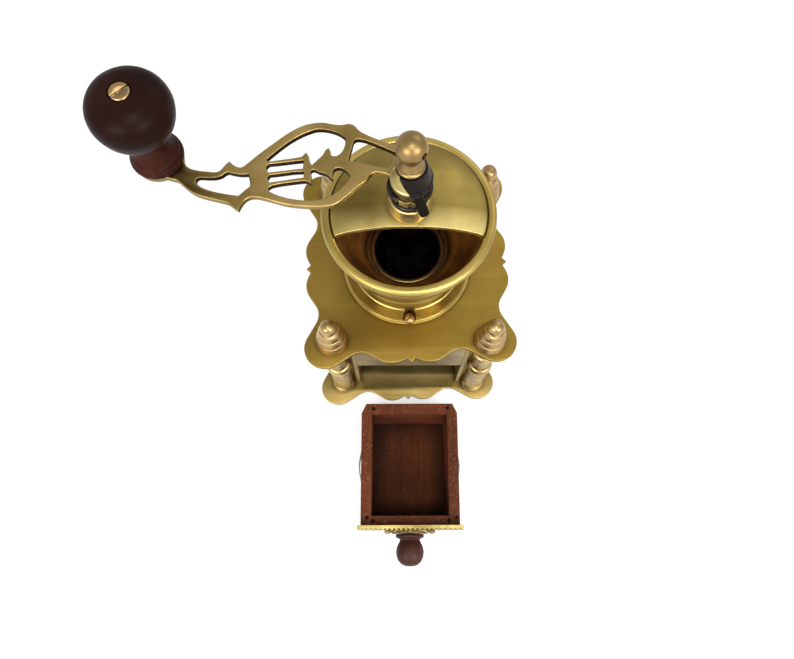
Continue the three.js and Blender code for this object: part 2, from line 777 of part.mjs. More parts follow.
const armWindows = {
  hub: [
    [[0.047, 0.085], [0.06, 0.103], [0.084, 0.117], [0.131, 0.134], [0.187, 0.152], [0.224, 0.157], [0.24, 0.147],
      [0.245, 0.115], [0.25, 0.08], [0.252, 0.056]],
    [[0.252, 0.056], [0.215, 0.056], [0.178, 0.05], [0.14, 0.043], [0.1, 0.042], [0.083, 0.052],
      [0.08, 0.085], [0.066, 0.094], [0.047, 0.085]],
  ],
  lyre: [
    [[0.278, 0.157], [0.304, 0.175], [0.346, 0.187], [0.392, 0.187], [0.43, 0.171], [0.467, 0.147],
      [0.505, 0.115], [0.542, 0.075], [0.579, 0.031]],
    [[0.579, 0.031], [0.572, 0.024]],
    [[0.572, 0.024], [0.551, 0.029], [0.495, 0.043], [0.449, 0.056], [0.438, 0.064]],
    [[0.438, 0.064], [0.428, 0.079]],
    [[0.428, 0.079], [0.416, 0.065], [0.407, 0.04], [0.397, 0.025]],
    [[0.397, 0.025], [0.378, 0.05], [0.36, 0.074], [0.352, 0.094], [0.34, 0.108]],
    [[0.34, 0.108], [0.331, 0.095], [0.325, 0.075]],
    [[0.325, 0.075], [0.308, 0.074], [0.293, 0.083], [0.281, 0.103], [0.276, 0.131], [0.278, 0.157]],
  ],
  slotUpper: [
    [[0.432, 0.04], [0.467, 0.033], [0.523, 0.02], [0.566, 0.01]],
    [[0.566, 0.01], [0.574, 0], [0.574, -0.013], [0.564, -0.024]],
    [[0.564, -0.024], [0.514, -0.013], [0.467, -0.002], [0.431, 0.007]],
    [[0.431, 0.007], [0.432, 0.04]],
  ],
  slotLower: [
    [[0.425, -0.009], [0.467, -0.016], [0.523, -0.03], [0.557, -0.037]],
    [[0.557, -0.037], [0.563, -0.052], [0.556, -0.068]],
    [[0.556, -0.068], [0.505, -0.055], [0.467, -0.045], [0.422, -0.033]],
    [[0.422, -0.033], [0.425, -0.009]],
  ],
  belly: [
    [[0.24, -0.012], [0.252, 0.004], [0.271, 0.018], [0.29, 0.021], [0.304, 0.014], [0.308, -0.006],
      [0.304, -0.035]],
    [[0.304, -0.035], [0.32, -0.024], [0.337, -0.011], [0.363, -0.006], [0.384, 0.003], [0.396, -0.006],
      [0.391, -0.03], [0.386, -0.062]],
    [[0.386, -0.062], [0.4, -0.054], [0.416, -0.05], [0.467, -0.062], [0.514, -0.074], [0.543, -0.084]],
    [[0.543, -0.084], [0.554, -0.095], [0.548, -0.108]],
    [[0.548, -0.108], [0.514, -0.121], [0.467, -0.13], [0.421, -0.133], [0.374, -0.13], [0.332, -0.118],
      [0.299, -0.098], [0.271, -0.068], [0.249, -0.035], [0.24, -0.012]],
  ],
  knobSide: [
    [[0.643, -0.042], [0.673, -0.046], [0.7, -0.044], [0.722, -0.04]],
    [[0.722, -0.04], [0.734, -0.046], [0.748, -0.06], [0.77, -0.069], [0.8, -0.073], [0.832, -0.075],
      [0.844, -0.085], [0.84, -0.102]],
    [[0.84, -0.102], [0.813, -0.117], [0.776, -0.127], [0.729, -0.134], [0.673, -0.137], [0.664, -0.133]],
    [[0.664, -0.133], [0.645, -0.11], [0.628, -0.092]],
    [[0.628, -0.092], [0.634, -0.066], [0.643, -0.042]],
  ],
};

function stretchPoints(stretches) {
  const points = [];
  for (const stretch of stretches) {
    const knots = stretch.map(([u, v]) => new THREE.Vector2(u * armReach, v * armReach));
    const curve = new THREE.SplineCurve(knots);
    const drawn = knots.length > 2 ? curve.getPoints(knots.length - 1) : knots;
    points.push(...drawn.slice(0, -1));
  }
  return points;
}

function arcPoints(x, y, radius, from, to) {
  const steps = Math.ceil(Math.abs(to - from) / arcStep);
  const points = [];
  for (let k = 0; k <= steps; k++) {
    const angle = from + ((to - from) * k) / steps;
    points.push(new THREE.Vector2(x + radius * Math.cos(angle), y + radius * Math.sin(angle)));
  }
  return points;
}

function armShape() {
  const eye = arcPoints(crankReach, 0, eyeRadius, eyeStart, -eyeEnd);
  const hub = arcPoints(0, 0, hubRadius, -hubStart, hubStart - 2 * Math.PI + hubOpening);
  const shape = new THREE.Shape([
    ...stretchPoints(armOutlineStretches),
    ...eye,
    ...stretchPoints(armLowerStretches),
    ...hub,
  ]);
  for (const window of Object.values(armWindows)) shape.holes.push(new THREE.Path(stretchPoints(window)));
  return shape;
}

const eyeStart = THREE.MathUtils.degToRad(172);
const eyeEnd = THREE.MathUtils.degToRad(98);
const hubStart = THREE.MathUtils.degToRad(14);
const hubOpening = THREE.MathUtils.degToRad(88);

function crankArm() {
  const arm = spun(slab(mirrored(armShape()), armBottom, armTop), crankAngle);
  const hubNeck = disc(hubRadius - hubNeckDepth, hubBottom, armBottom + weldDepth, knobFlats);
  const hubDrum = turned([
    [0, armTop - weldDepth],
    [hubRadius, armTop - weldDepth],
    [hubRadius, armTop],
    [hubTopRadius, hubTop],
    [0, hubTop],
  ], knobFlats);
  const spindleBore = disc(spindleRadius + fit, hubBottom - overrun, hubTop + overrun, turnedFlats);
  const eyeBore = disc(knobScrewRadius + fit, armBottom - overrun, armTop + overrun, turnedFlats);
  const [knobX, knobY] = knobPlace();
  const solid = cut(join(arm, hubNeck, hubDrum), spindleBore, moved(eyeBore, knobX, knobY));
  return piece("crank_arm", solid, castBrass);
}

// The arm's drawing has its second axis towards the back, so it is turned over for the frame
function mirrored(shape) {
  const flip = (point) => new THREE.Vector2(point.x, -point.y);
  const turnedOver = new THREE.Shape(shape.getPoints().map(flip));
  turnedOver.holes = shape.holes.map((hole) => new THREE.Path(hole.getPoints().map(flip)));
  return turnedOver;
}

function knobPlace() {
  return [crankReach * Math.cos(crankAngle), crankReach * Math.sin(crankAngle)];
}

// Catch: a thin iron saddle bent over one side of the hub and clamped by the ball nut, with a
// finger hanging in front. Its open side is cut off along a slanting plane.
function catchPiece() {
  const foot = hubRadius + fit;
  const shoulder = hubTopRadius + fit;
  const saddle = turned([
    [foot, armTop],
    [foot + catchWall, armTop],
    [foot + catchWall, armTop + catchBand],
    [foot + catchWall - catchStep, armTop + catchBand],
    [shoulder + catchWall, hubTop],
    [shoulder + catchWall, catchTop],
    [spindleStudRadius + fit, catchTop],
    [spindleStudRadius + fit, hubTop],
    [shoulder, hubTop],
  ], knobFlats);
  const wide = 2 * (foot + catchWall);
  const openSide = spun(
    block(-wide, 0, -wide, wide, -wide, wide)
      .rotate([0, -THREE.MathUtils.radToDeg(catchTilt), 0])
      .translate([catchEdge, 0, armTop]),
    catchTurn);
  const washer = disc(hubTopRadius, hubTop, catchTop, knobFlats, spindleStudRadius + fit);
  return piece("catch_finger", join(cut(saddle, openSide), washer, spun(finger(), fingerTurn)), iron);
}

// The finger's side view, bent outwards as it hangs, pushed across its width and rounded below
function finger() {
  const inner = hubRadius + fit;
  const top = armTop + catchBand;
  const bottom = armTop - fingerDrop;
  const shape = new THREE.Shape([
    new THREE.Vector2(inner, armBottom),
    new THREE.Vector2(inner + fingerLean, bottom),
    new THREE.Vector2(inner + fingerLean + fingerThickness, bottom),
    new THREE.Vector2(inner + fingerThickness, armBottom),
    new THREE.Vector2(inner + fingerThickness, top),
    new THREE.Vector2(inner, top),
  ]);
  const geometry = new THREE.ExtrudeGeometry(shape, { depth: fingerWidth, bevelEnabled: false });
  geometry.translate(0, 0, -fingerWidth / 2);
  geometry.rotateX(Math.PI / 2);
  const half = fingerWidth / 2;
  const reach = 2 * (inner + fingerLean + fingerThickness);
  const tip = moved(disc(half, -reach, reach, turnedFlats).rotate([0, 90, 0]), 0, 0, bottom + half);
  const stem = block(-reach, reach, -half, half, bottom + half, top);
  return body(geometry).intersect(join(tip, stem))
    .translate([0, 0, -armTop])
    .rotate([THREE.MathUtils.radToDeg(fingerSlant), 0, 0])
    .translate([0, 0, armTop]);
}

// Ball nut: a flanged ball that closes the stack
const ballNutShares = [[0.88, 0], [0.9, 0.06], [0.8, 0.11], [0.78, 0.17], [0.62, 0.22], [0.6, 0.33]];
const ballShare = 0.316;

function ballNut() {
  const bore = spindleStudRadius + fit;
  const socketTop = catchTop + ballNutSocket + fit;
  const centre = catchTop + ballNutHeight * (1 - ballShare);
  const ballPoints = [];
  const steps = 6;
  for (let k = 0; k <= steps; k++) {
    const angle = -ballStart + ((Math.PI / 2 + ballStart) * k) / steps;
    ballPoints.push([ballNutRadius * Math.cos(angle), centre + ballNutRadius * Math.sin(angle)]);
  }
  ballPoints.at(-1)[0] = 0;
  const nut = turned([
    [0, socketTop],
    [bore, socketTop],
    [bore, catchTop],
    ...scaled(ballNutShares, ballNutRadius, ballNutHeight, catchTop),
    ...ballPoints,
  ], turnedFlats);
  const drill = new THREE.CylinderGeometry(
    ballNutHoleRadius, ballNutHoleRadius, ballNutRadius, screwFlats);
  drill.rotateZ(Math.PI / 2);
  drill.translate(ballNutRadius + ballNutHoleRadius, 0, centre - ballNutRadius / 3);
  const hole = spun(body(drill), ballHoleTurn);
  return piece("ball_nut", cut(nut, hole), castBrass);
}

const ballStart = THREE.MathUtils.degToRad(52);
const ballHoleTurn = THREE.MathUtils.degToRad(-17.7);

// Crank knob: a flattened ball over a bell-shaped foot, turned in wood
const knobShares = [
  [0.66, 0], [0.68, 0.025], [0.67, 0.065], [0.62, 0.085], [0.63, 0.11], [0.55, 0.16], [0.475, 0.23],
  [0.455, 0.3], [0.5, 0.38], [0.64, 0.45], [0.84, 0.54], [0.96, 0.64], [1, 0.74], [0.96, 0.84],
  [0.82, 0.93], [0.58, 0.98], [0.3, 1],
];

function knob() {
  const [x, y] = knobPlace();
  const seat = knobBottom + knobHeight;
  const recess = knobScrewHeadRadius + fit;
  const floor = seat - knobScrewHeadHeight;
  const turnedKnob = turned([
    [knobBore, knobBottom],
    ...scaled(knobShares, knobRadius, knobHeight, knobBottom),
    [recess, seat],
    [recess, floor],
    [knobBore, floor],
  ], knobFlats);
  return piece("crank_knob", moved(turnedKnob, x, y), darkWood);
}

function knobScrew() {
  const [x, y] = knobPlace();
  const top = knobBottom + knobHeight + fit;
  const seat = top - knobScrewHeadHeight;
  const shank = turned([
    [0, armBottom - rivetHeadHeight],
    [rivetHeadRadius, armBottom - rivetHeadHeight],
    [rivetHeadRadius, armBottom],
    [knobScrewRadius, armBottom],
    [knobScrewRadius, seat],
    [knobScrewHeadRadius, seat],
    [knobScrewHeadRadius, top],
    [0, top],
  ], turnedFlats);
  const half = knobScrewSlot / 2;
  const slot = block(
    -knobScrewHeadRadius * 2, knobScrewHeadRadius * 2, -half, half, top - knobScrewSlot, top + overrun);
  return piece("knob_screw", moved(cut(shank, spun(slot, knobSlotTurn)), x, y), castBrass);
}

const knobSlotTurn = THREE.MathUtils.degToRad(40.3);

// Drawer: butt-jointed wooden box with a brass front, a turned knob and two side springs
function drawer() {
  const half = drawerHalfWidth;
  const inner = half - drawerSideWall;
  const front = drawerFaceY;
  const back = front + drawerLength;
  const bottom = drawerBottom;
  const top = bottom + drawerHeight;
  const side = new THREE.Shape([
    new THREE.Vector2(inner, front),
    new THREE.Vector2(half, front),
    new THREE.Vector2(half, back - drawerChamferLength),
    new THREE.Vector2(half - drawerChamferWidth, back),
    new THREE.Vector2(inner, back),
  ]);
  const right = slab(side, bottom, top);
  const left = right.mirror([1, 0, 0]);
  const frontWall = block(-inner, inner, front, front + drawerFrontWall, bottom, top);
  const rearWall = block(-inner, inner, back - drawerRearWall, back, bottom, top);
  const floor = block(
    -inner, inner, front + drawerFrontWall, back - drawerRearWall, bottom, bottom + drawerFloor);
  return [
    piece("drawer_side_right", besides(right), redWood),
    piece("drawer_side_left", besides(left), redWood),
    piece("drawer_front_wall", besides(cut(frontWall, drawerScrewHole(), drawerHeadRoom())), redWood),
    piece("drawer_rear_wall", besides(rearWall), redWood),
    piece("drawer_floor", besides(floor), redWood),
  ];
}

// Pieces on the knob's axis are turned upright, then laid over towards the front
const drawerKnobZ = drawerBottom + drawerFrontHeight / 2 + fit;

function laidForward(solid) {
  return solid.rotate([90, 0, 0]).translate([0, drawerFaceY, drawerKnobZ]);
}

function drawerScrewHole() {
  return laidForward(disc(drawerScrewRadius + fit, -drawerFrontWall - overrun, drawerKnobLength / 2, screwFlats));
}

function drawerHeadRoom() {
  const depth = drawerScrewHeadHeight + fit;
  const radius = drawerScrewHeadRadius + fit;
  return laidForward(disc(radius, -drawerFrontWall - overrun, depth - drawerFrontWall, turnedFlats));
}

function scrollOutline() {
  const points = [];
  const count = scrollLobes * 6;
  for (let k = 0; k < count; k++) {
    const angle = (2 * Math.PI * k) / count;
    const radius = scrollRadius - scrollWave * (1 + Math.cos(scrollLobes * angle)) / 2;
    points.push(new THREE.Vector2(radius * Math.cos(angle), radius * Math.sin(angle)));
  }
  return new THREE.Shape(points);
}

const drawerKnobShares = [
  [1, 0], [1.02, 0.06], [0.98, 0.13], [0.8, 0.16], [0.72, 0.2], [0.84, 0.3], [0.97, 0.43], [1, 0.56],
  [0.95, 0.72], [0.78, 0.87], [0.5, 0.97], [0, 1],
];

function drawerFittings() {
  const faceBottom = drawerBottom + fit;
  const faceTop = faceBottom + drawerFrontHeight;
  const face = block(
    -drawerFrontHalfWidth, drawerFrontHalfWidth, drawerFaceY - drawerFrontThickness, drawerFaceY,
    faceBottom, faceTop);
  const scrollFront = drawerFrontThickness + scrollThickness;
  const scroll = laidForward(slab(scrollOutline(), drawerFrontThickness, scrollFront));
  const socket = drawerKnobLength / 2 + scrollFront;
  const bore = drawerScrewRadius + fit;
  const turnedKnob = laidForward(turned([
    [0, socket],
    [bore, socket],
    [bore, scrollFront],
    ...scaled(drawerKnobShares, drawerKnobRadius, drawerKnobLength, scrollFront),
  ], turnedFlats));
  const headSeat = drawerScrewHeadHeight - drawerFrontWall;
  const screw = laidForward(turned([
    [0, -drawerFrontWall],
    [drawerScrewHeadRadius, -drawerFrontWall],
    [drawerScrewHeadRadius, headSeat],
    [drawerScrewRadius, headSeat],
    [drawerScrewRadius, socket - fit],
    [0, socket - fit],
  ], screwFlats));
  return [
    piece("drawer_front_plate", besides(cut(face, drawerScrewHole())), castBrass),
    piece("drawer_scroll", besides(cut(scroll, drawerScrewHole())), castBrass),
    piece("drawer_knob", besides(turnedKnob), redWood),
    piece("drawer_knob_screw", besides(screw), steel),
  ];
}

// Side springs: thin strips bowed outwards to hold the drawer in the box by friction
function springs() {
  const middle = drawerFaceY + drawerLength * springPlaceShare;
  const low = drawerBottom + (drawerHeight - springHeight) / 2;
  const halfSpan = springLength / 2 - springTab;
  const outer = [];
  const inner = [];
  const steps = 8;
  for (let k = 0; k <= steps; k++) {
    const along = -1 + (2 * k) / steps;
    const lift = (springBow - springThickness) * (1 + Math.cos(Math.PI * along)) / 2;
    inner.push(new THREE.Vector2(drawerHalfWidth + lift, middle + along * halfSpan));
    outer.unshift(new THREE.Vector2(drawerHalfWidth + lift + springThickness, middle + along * halfSpan));
  }
  const end = springLength / 2;
  const strip = slab(new THREE.Shape([
    new THREE.Vector2(drawerHalfWidth, middle - end),
    ...inner,
    new THREE.Vector2(drawerHalfWidth, middle + end),
    new THREE.Vector2(drawerHalfWidth + springThickness, middle + end),
    ...outer,
    new THREE.Vector2(drawerHalfWidth + springThickness, middle - end),
  ]), low, low + springHeight);
  return [
    piece("drawer_spring_right", besides(strip), steel),
    piece("drawer_spring_left", besides(strip.mirror([1, 0, 0])), steel),
  ];
}

const springPlaceShare = 0.5;

const grinder = new THREE.Group();
grinder.add(
  ...plates(),
  ...columns(),
  ...finials(),
  ...footScrews(),
  ...box(),
  hopper(),
  ...hopperScrews(),
  cover(),
  ...bearing(),
  burrRing(),
  burrCone(),
  ...bridge(),
  piece("spindle", spindle(), steel),
  setNut(),
  lockPlate(),
  crankArm(),
  catchPiece(),
  ballNut(),
  knob(),
  knobScrew(),
  ...drawer(),
  ...drawerFittings(),
  ...springs(),
);

export default grinder;
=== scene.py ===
import math

import bpy
from mathutils import Matrix, Vector


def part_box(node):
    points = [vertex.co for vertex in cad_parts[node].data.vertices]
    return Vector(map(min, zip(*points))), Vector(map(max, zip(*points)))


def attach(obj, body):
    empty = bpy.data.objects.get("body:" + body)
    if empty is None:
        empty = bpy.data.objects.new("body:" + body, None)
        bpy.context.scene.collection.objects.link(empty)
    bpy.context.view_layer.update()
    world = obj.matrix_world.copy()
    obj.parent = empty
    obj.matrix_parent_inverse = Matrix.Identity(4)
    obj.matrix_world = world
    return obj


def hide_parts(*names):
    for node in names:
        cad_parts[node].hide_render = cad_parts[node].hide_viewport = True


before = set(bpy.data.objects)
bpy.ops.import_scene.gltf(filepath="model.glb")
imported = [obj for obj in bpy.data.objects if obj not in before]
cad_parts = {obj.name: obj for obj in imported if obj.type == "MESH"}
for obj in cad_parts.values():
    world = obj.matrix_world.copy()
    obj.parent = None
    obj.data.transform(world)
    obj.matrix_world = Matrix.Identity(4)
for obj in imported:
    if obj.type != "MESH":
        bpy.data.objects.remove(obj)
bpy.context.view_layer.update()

# The photograph's frame and the camera that took it: millimetres and degrees
PHOTO_WIDTH = 794
FOCAL_PIXELS = 718.8
SENSOR = 36
CAMERA_AT = (-7.005, -150.262, 470.89)
PITCH, YAW, ROLL = 73.01, 0.77, 0.587

MM = 0.001
ROUND_STEPS = 96
SMALL_STEPS = 40


def mm(*lengths):
    return tuple(length * MM for length in lengths)


# Working with objects the way a modeller does by hand


def clear_selection():
    if bpy.context.object and bpy.context.object.mode != "OBJECT":
        bpy.ops.object.mode_set(mode="OBJECT")
    bpy.ops.object.select_all(action="DESELECT")


def pick(piece):
    clear_selection()
    piece.select_set(True)
    bpy.context.view_layer.objects.active = piece


def settle(piece, name, angle=35):
    """Names the piece, puts its place into its mesh and shades it by angle."""
    pick(piece)
    piece.name = piece.data.name = name
    bpy.ops.object.transform_apply(location=True, rotation=True, scale=True)
    bpy.ops.object.shade_smooth_by_angle(angle=math.radians(angle))
    return piece


def tidy_mesh(piece, distance=1e-6):
    pick(piece)
    bpy.ops.object.mode_set(mode="EDIT")
    bpy.ops.mesh.select_all(action="SELECT")
    bpy.ops.mesh.remove_doubles(threshold=distance)
    bpy.ops.mesh.normals_make_consistent(inside=False)
    bpy.ops.object.mode_set(mode="OBJECT")


def modify(piece, kind, **settings):
    """Adds a modifier with its settings and applies it."""
    pick(piece)
    bpy.ops.object.modifier_add(type=kind)
    modifier = piece.modifiers[-1]
    for key, value in settings.items():
        setattr(modifier, key, value)
    bpy.ops.object.modifier_apply(modifier=modifier.name)


def carve(piece, cutter, operation="DIFFERENCE"):
    modify(piece, "BOOLEAN", object=cutter, operation=operation, solver="EXACT")
    bpy.data.objects.remove(cutter)
    tidy_mesh(piece, 1e-7)


def spline(points, steps=4):
    """A smooth run of points through the given ones."""
    if len(points) < 3:
        return list(points)
    padded = [points[0], *points, points[-1]]
    run = []
    for a, b, c, d in zip(padded, padded[1:], padded[2:], padded[3:]):
        for k in range(steps):
            t = k / steps
            run.append(tuple(
                0.5 * (2 * q + (r - p) * t + (2 * p - 5 * q + 4 * r - s) * t * t
                       + (3 * q - p - 3 * r + s) * t ** 3)
                for p, q, r, s in zip(a, b, c, d)))
    run.append(tuple(points[-1]))
    return run


def strokes(first, *others, steps=4):
    """One profile from smooth strokes, each of which starts where the one before it ended."""
    profile = spline(first, steps)
    for stroke in others:
        profile += spline([profile[-1], *stroke], steps)[1:]
    return profile


def turn(name, profile, centre=(0, 0), base=0, steps=ROUND_STEPS, closed=False):
    """Turns a profile of radius and height, in millimetres, round a vertical axis."""
    x, y = centre
    points = [Vector(mm(x + r, y, base + z)) for r, z in profile]
    if closed:
        points.append(points[0])
    clear_selection()
    bpy.ops.mesh.primitive_plane_add(size=MM, location=points[0])
    piece = bpy.context.object
    bpy.ops.object.mode_set(mode="EDIT")
    bpy.ops.mesh.select_all(action="SELECT")
    bpy.ops.mesh.merge(type="CENTER")
    for here, there in zip(points, points[1:]):
        bpy.ops.mesh.extrude_vertices_move(TRANSFORM_OT_translate={"value": there - here})
    bpy.ops.mesh.select_all(action="SELECT")
    bpy.ops.mesh.spin(
        steps=steps, angle=2 * math.pi, center=mm(x, y, 0), axis=(0, 0, 1), use_auto_merge=True)
    bpy.ops.object.mode_set(mode="OBJECT")
    tidy_mesh(piece, 2e-7)
    return settle(piece, name)


def brick(name, low, high):
    """A box between two corners, in millimetres."""
    low, high = Vector(mm(*low)), Vector(mm(*high))
    clear_selection()
    bpy.ops.mesh.primitive_cube_add(size=1, location=(low + high) / 2)
    piece = bpy.context.object
    piece.scale = high - low
    return settle(piece, name)


def turned_by(piece, degrees, centre):
    """Turns a finished piece about a vertical line through the centre, in millimetres."""
    middle = Matrix.Translation(Vector(mm(*centre, 0)))
    piece.data.transform(middle @ Matrix.Rotation(math.radians(degrees), 4, "Z") @ middle.inverted())
    return piece


def cut_away(piece, at, normal):
    """Cuts off what lies behind a plane, whose place is in millimetres, and closes the cut."""
    pick(piece)
    bpy.ops.object.mode_set(mode="EDIT")
    bpy.ops.mesh.select_all(action="SELECT")
    bpy.ops.mesh.bisect(plane_co=mm(*at), plane_no=normal, use_fill=True, clear_inner=True)
    bpy.ops.object.mode_set(mode="OBJECT")
    tidy_mesh(piece)


def saw_slot(screw, centre, width, low, high, degrees, reach=5):
    """Saws a driver's slot across the head of a screw, between two heights."""
    (x, y), half = centre, width / 2
    slot = brick("slot", (x - reach, y - half, low), (x + reach, y + half, high))
    carve(screw, turned_by(slot, degrees, centre))


def join(pieces, name):
    clear_selection()
    for piece in pieces:
        piece.select_set(True)
    bpy.context.view_layer.objects.active = pieces[0]
    bpy.ops.object.join()
    return settle(bpy.context.object, name)


def sheet_form(name, outlines, low, high, edge):
    """A flat casting from outlines in millimetres, the first outside, with rounded edges."""
    clear_selection()
    bpy.ops.curve.primitive_bezier_circle_add(radius=MM, location=(0, 0, (low + high) / 2 * MM))
    piece = bpy.context.object
    curve = piece.data
    curve.splines.clear()
    for outline in outlines:
        run = curve.splines.new("POLY")
        run.points.add(len(outline) - 1)
        for point, (x, y) in zip(run.points, outline):
            point.co = (x * MM, y * MM, 0, 1)
        run.use_cyclic_u = True
    curve.dimensions = "2D"
    curve.fill_mode = "BOTH"
    curve.extrude = ((high - low) / 2 - edge) * MM
    curve.bevel_depth = edge * MM
    curve.bevel_resolution = 3
    curve.offset = -edge * MM
    bpy.ops.object.convert(target="MESH")
    piece = bpy.context.object
    tidy_mesh(piece, 5e-7)
    return settle(piece, name, 40)


# Measures of the CAD nodes, in millimetres


def corners_of(node):
    return [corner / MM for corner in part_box(node)]


def centre_of(node):
    """Where the axis of an upright turned node stands."""
    low, high = corners_of(node)
    middle = (low + high) / 2
    return middle.x, middle.y


def top_of(node):
    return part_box(node)[1].z / MM


def foot_of(node):
    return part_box(node)[0].z / MM


def back_of(node):
    """Middle of the side that faces the back."""
    low, high = corners_of(node)
    return (low.x + high.x) / 2, high.y, (low.z + high.z) / 2


DECK = top_of("top_plate")

# Finishes


def nodes_for(name):
    material = bpy.data.materials.new(name)
    material.use_nodes = True
    tree = material.node_tree
    tree.nodes.clear()
    shader = tree.nodes.new("ShaderNodeBsdfPrincipled")
    output = tree.nodes.new("ShaderNodeOutputMaterial")
    tree.links.new(shader.outputs["BSDF"], output.inputs["Surface"])
    place = tree.nodes.new("ShaderNodeTexCoord").outputs["Object"]
    return material, tree, shader, place


def stretched(tree, place, scale):
    mapping = tree.nodes.new("ShaderNodeMapping")
    mapping.inputs["Scale"].default_value = scale
    tree.links.new(place, mapping.inputs["Vector"])
    return mapping.outputs["Vector"]


def noise(tree, place, scale, detail=4, roughness=0.55):
    node = tree.nodes.new("ShaderNodeTexNoise")
    node.inputs["Scale"].default_value = scale
    node.inputs["Detail"].default_value = detail
    node.inputs["Roughness"].default_value = roughness
    tree.links.new(place, node.inputs["Vector"])
    return node.outputs["Fac"]


def ramp(tree, value, stops):
    node = tree.nodes.new("ShaderNodeValToRGB")
    elements = node.color_ramp.elements
    while len(elements) < len(stops):
        elements.new(0.5)
    for element, (at, colour) in zip(elements, stops):
        element.position = at
        element.color = (*colour, 1)
    tree.links.new(value, node.inputs["Fac"])
    return node.outputs["Color"]


def spread(tree, value, low, high, start=0.3, end=0.7):
    node = tree.nodes.new("ShaderNodeMapRange")
    node.inputs["From Min"].default_value = start
    node.inputs["From Max"].default_value = end
    node.inputs["To Min"].default_value = low
    node.inputs["To Max"].default_value = high
    tree.links.new(value, node.inputs["Value"])
    return node.outputs["Result"]


def feed(tree, socket, value):
    """Links a socket to the value, or sets it where the value is plain."""
    if isinstance(value, bpy.types.NodeSocket):
        tree.links.new(value, socket)
    else:
        socket.default_value = value


def mixed(tree, share, first, second, kind="MIX"):
    node = tree.nodes.new("ShaderNodeMix")
    node.data_type = "RGBA"
    node.blend_type = kind
    for index, value in ((0, share), (6, first), (7, second)):
        feed(tree, node.inputs[index], value)
    return node.outputs[2]


def shaded(tree, tone, share, value, stops):
    """The tone times a ramp of the value, as far as the share says."""
    return mixed(tree, share, tone, ramp(tree, value, stops), "MULTIPLY")


def covered(tree, tone, share, colour):
    """The tone under a colour that hides the given share of it."""
    return mixed(tree, share, tone, (*colour, 1))


def bump(tree, shader, heights):
    """Chains height maps of a depth in millimetres into one normal."""
    normal = None
    for height, depth in heights:
        node = tree.nodes.new("ShaderNodeBump")
        node.inputs["Distance"].default_value = depth * MM
        tree.links.new(height, node.inputs["Height"])
        if normal:
            tree.links.new(normal, node.inputs["Normal"])
        normal = node.outputs["Normal"]
    tree.links.new(normal, shader.inputs["Normal"])


def srgb(*levels):
    """A colour named by the levels from 0 to 255 that a screen shows."""
    return tuple((v / 255 / 12.92) if v < 10.3 else ((v / 255 + 0.055) / 1.055) ** 2.4 for v in levels)


def arithmetic(tree, kind, first, second):
    node = tree.nodes.new("ShaderNodeMath")
    node.operation = kind
    for socket, value in zip(node.inputs, (first, second)):
        feed(tree, socket, value)
    return node.outputs["Value"]


def times(tree, first, second):
    return arithmetic(tree, "MULTIPLY", first, second)


def along(tree, place, axis):
    node = tree.nodes.new("ShaderNodeSeparateXYZ")
    tree.links.new(place, node.inputs["Vector"])
    return node.outputs[axis]


def hollows(tree, reach):
    """1 deep in a corner or where pieces meet, 0 on an open face: where grime and painted shade go."""
    node = tree.nodes.new("ShaderNodeAmbientOcclusion")
    node.samples = 6
    node.inputs["Distance"].default_value = reach * MM
    return spread(tree, node.outputs["AO"], 1, 0, 0.4, 0.92)


def edges(tree, reach):
    """1 on an edge, where hands rub and where brass gets a painted highlight, 0 on a flat face."""
    rounded = tree.nodes.new("ShaderNodeBevel")
    rounded.samples = 4
    rounded.inputs["Radius"].default_value = reach * MM
    plain = tree.nodes.new("ShaderNodeNewGeometry").outputs["Normal"]
    agreement = tree.nodes.new("ShaderNodeVectorMath")
    agreement.operation = "DOT_PRODUCT"
    tree.links.new(rounded.outputs["Normal"], agreement.inputs[0])
    tree.links.new(plain, agreement.inputs[1])
    return spread(tree, agreement.outputs["Value"], 1, 0, 0.82, 0.985)


def zone(tree, place, axis, start, end, amount):
    """The amount at the start, in millimetres along the axis, and none at the end."""
    low, high = (start, end) if start < end else (end, start)
    values = (amount, 0) if start < end else (0, amount)
    return spread(tree, along(tree, place, axis), *values, low * MM, high * MM)


FADE = 0.6


def engraving(tree, place, low, high):
    """Cut scales between two heights in millimetres: 1 in the cut lines."""
    cells = tree.nodes.new("ShaderNodeTexVoronoi")
    cells.feature = "DISTANCE_TO_EDGE"
    cells.inputs["Scale"].default_value = 1
    tree.links.new(stretched(tree, place, (420, 420, 300)), cells.inputs["Vector"])
    cut = spread(tree, cells.outputs["Distance"], 1, 0, 0.02, 0.13)
    height = along(tree, place, "Z")
    above = spread(tree, height, 0, 1, low * MM, (low + FADE) * MM)
    below = spread(tree, height, 1, 0, (high - FADE) * MM, high * MM)
    return times(tree, cut, times(tree, above, below))


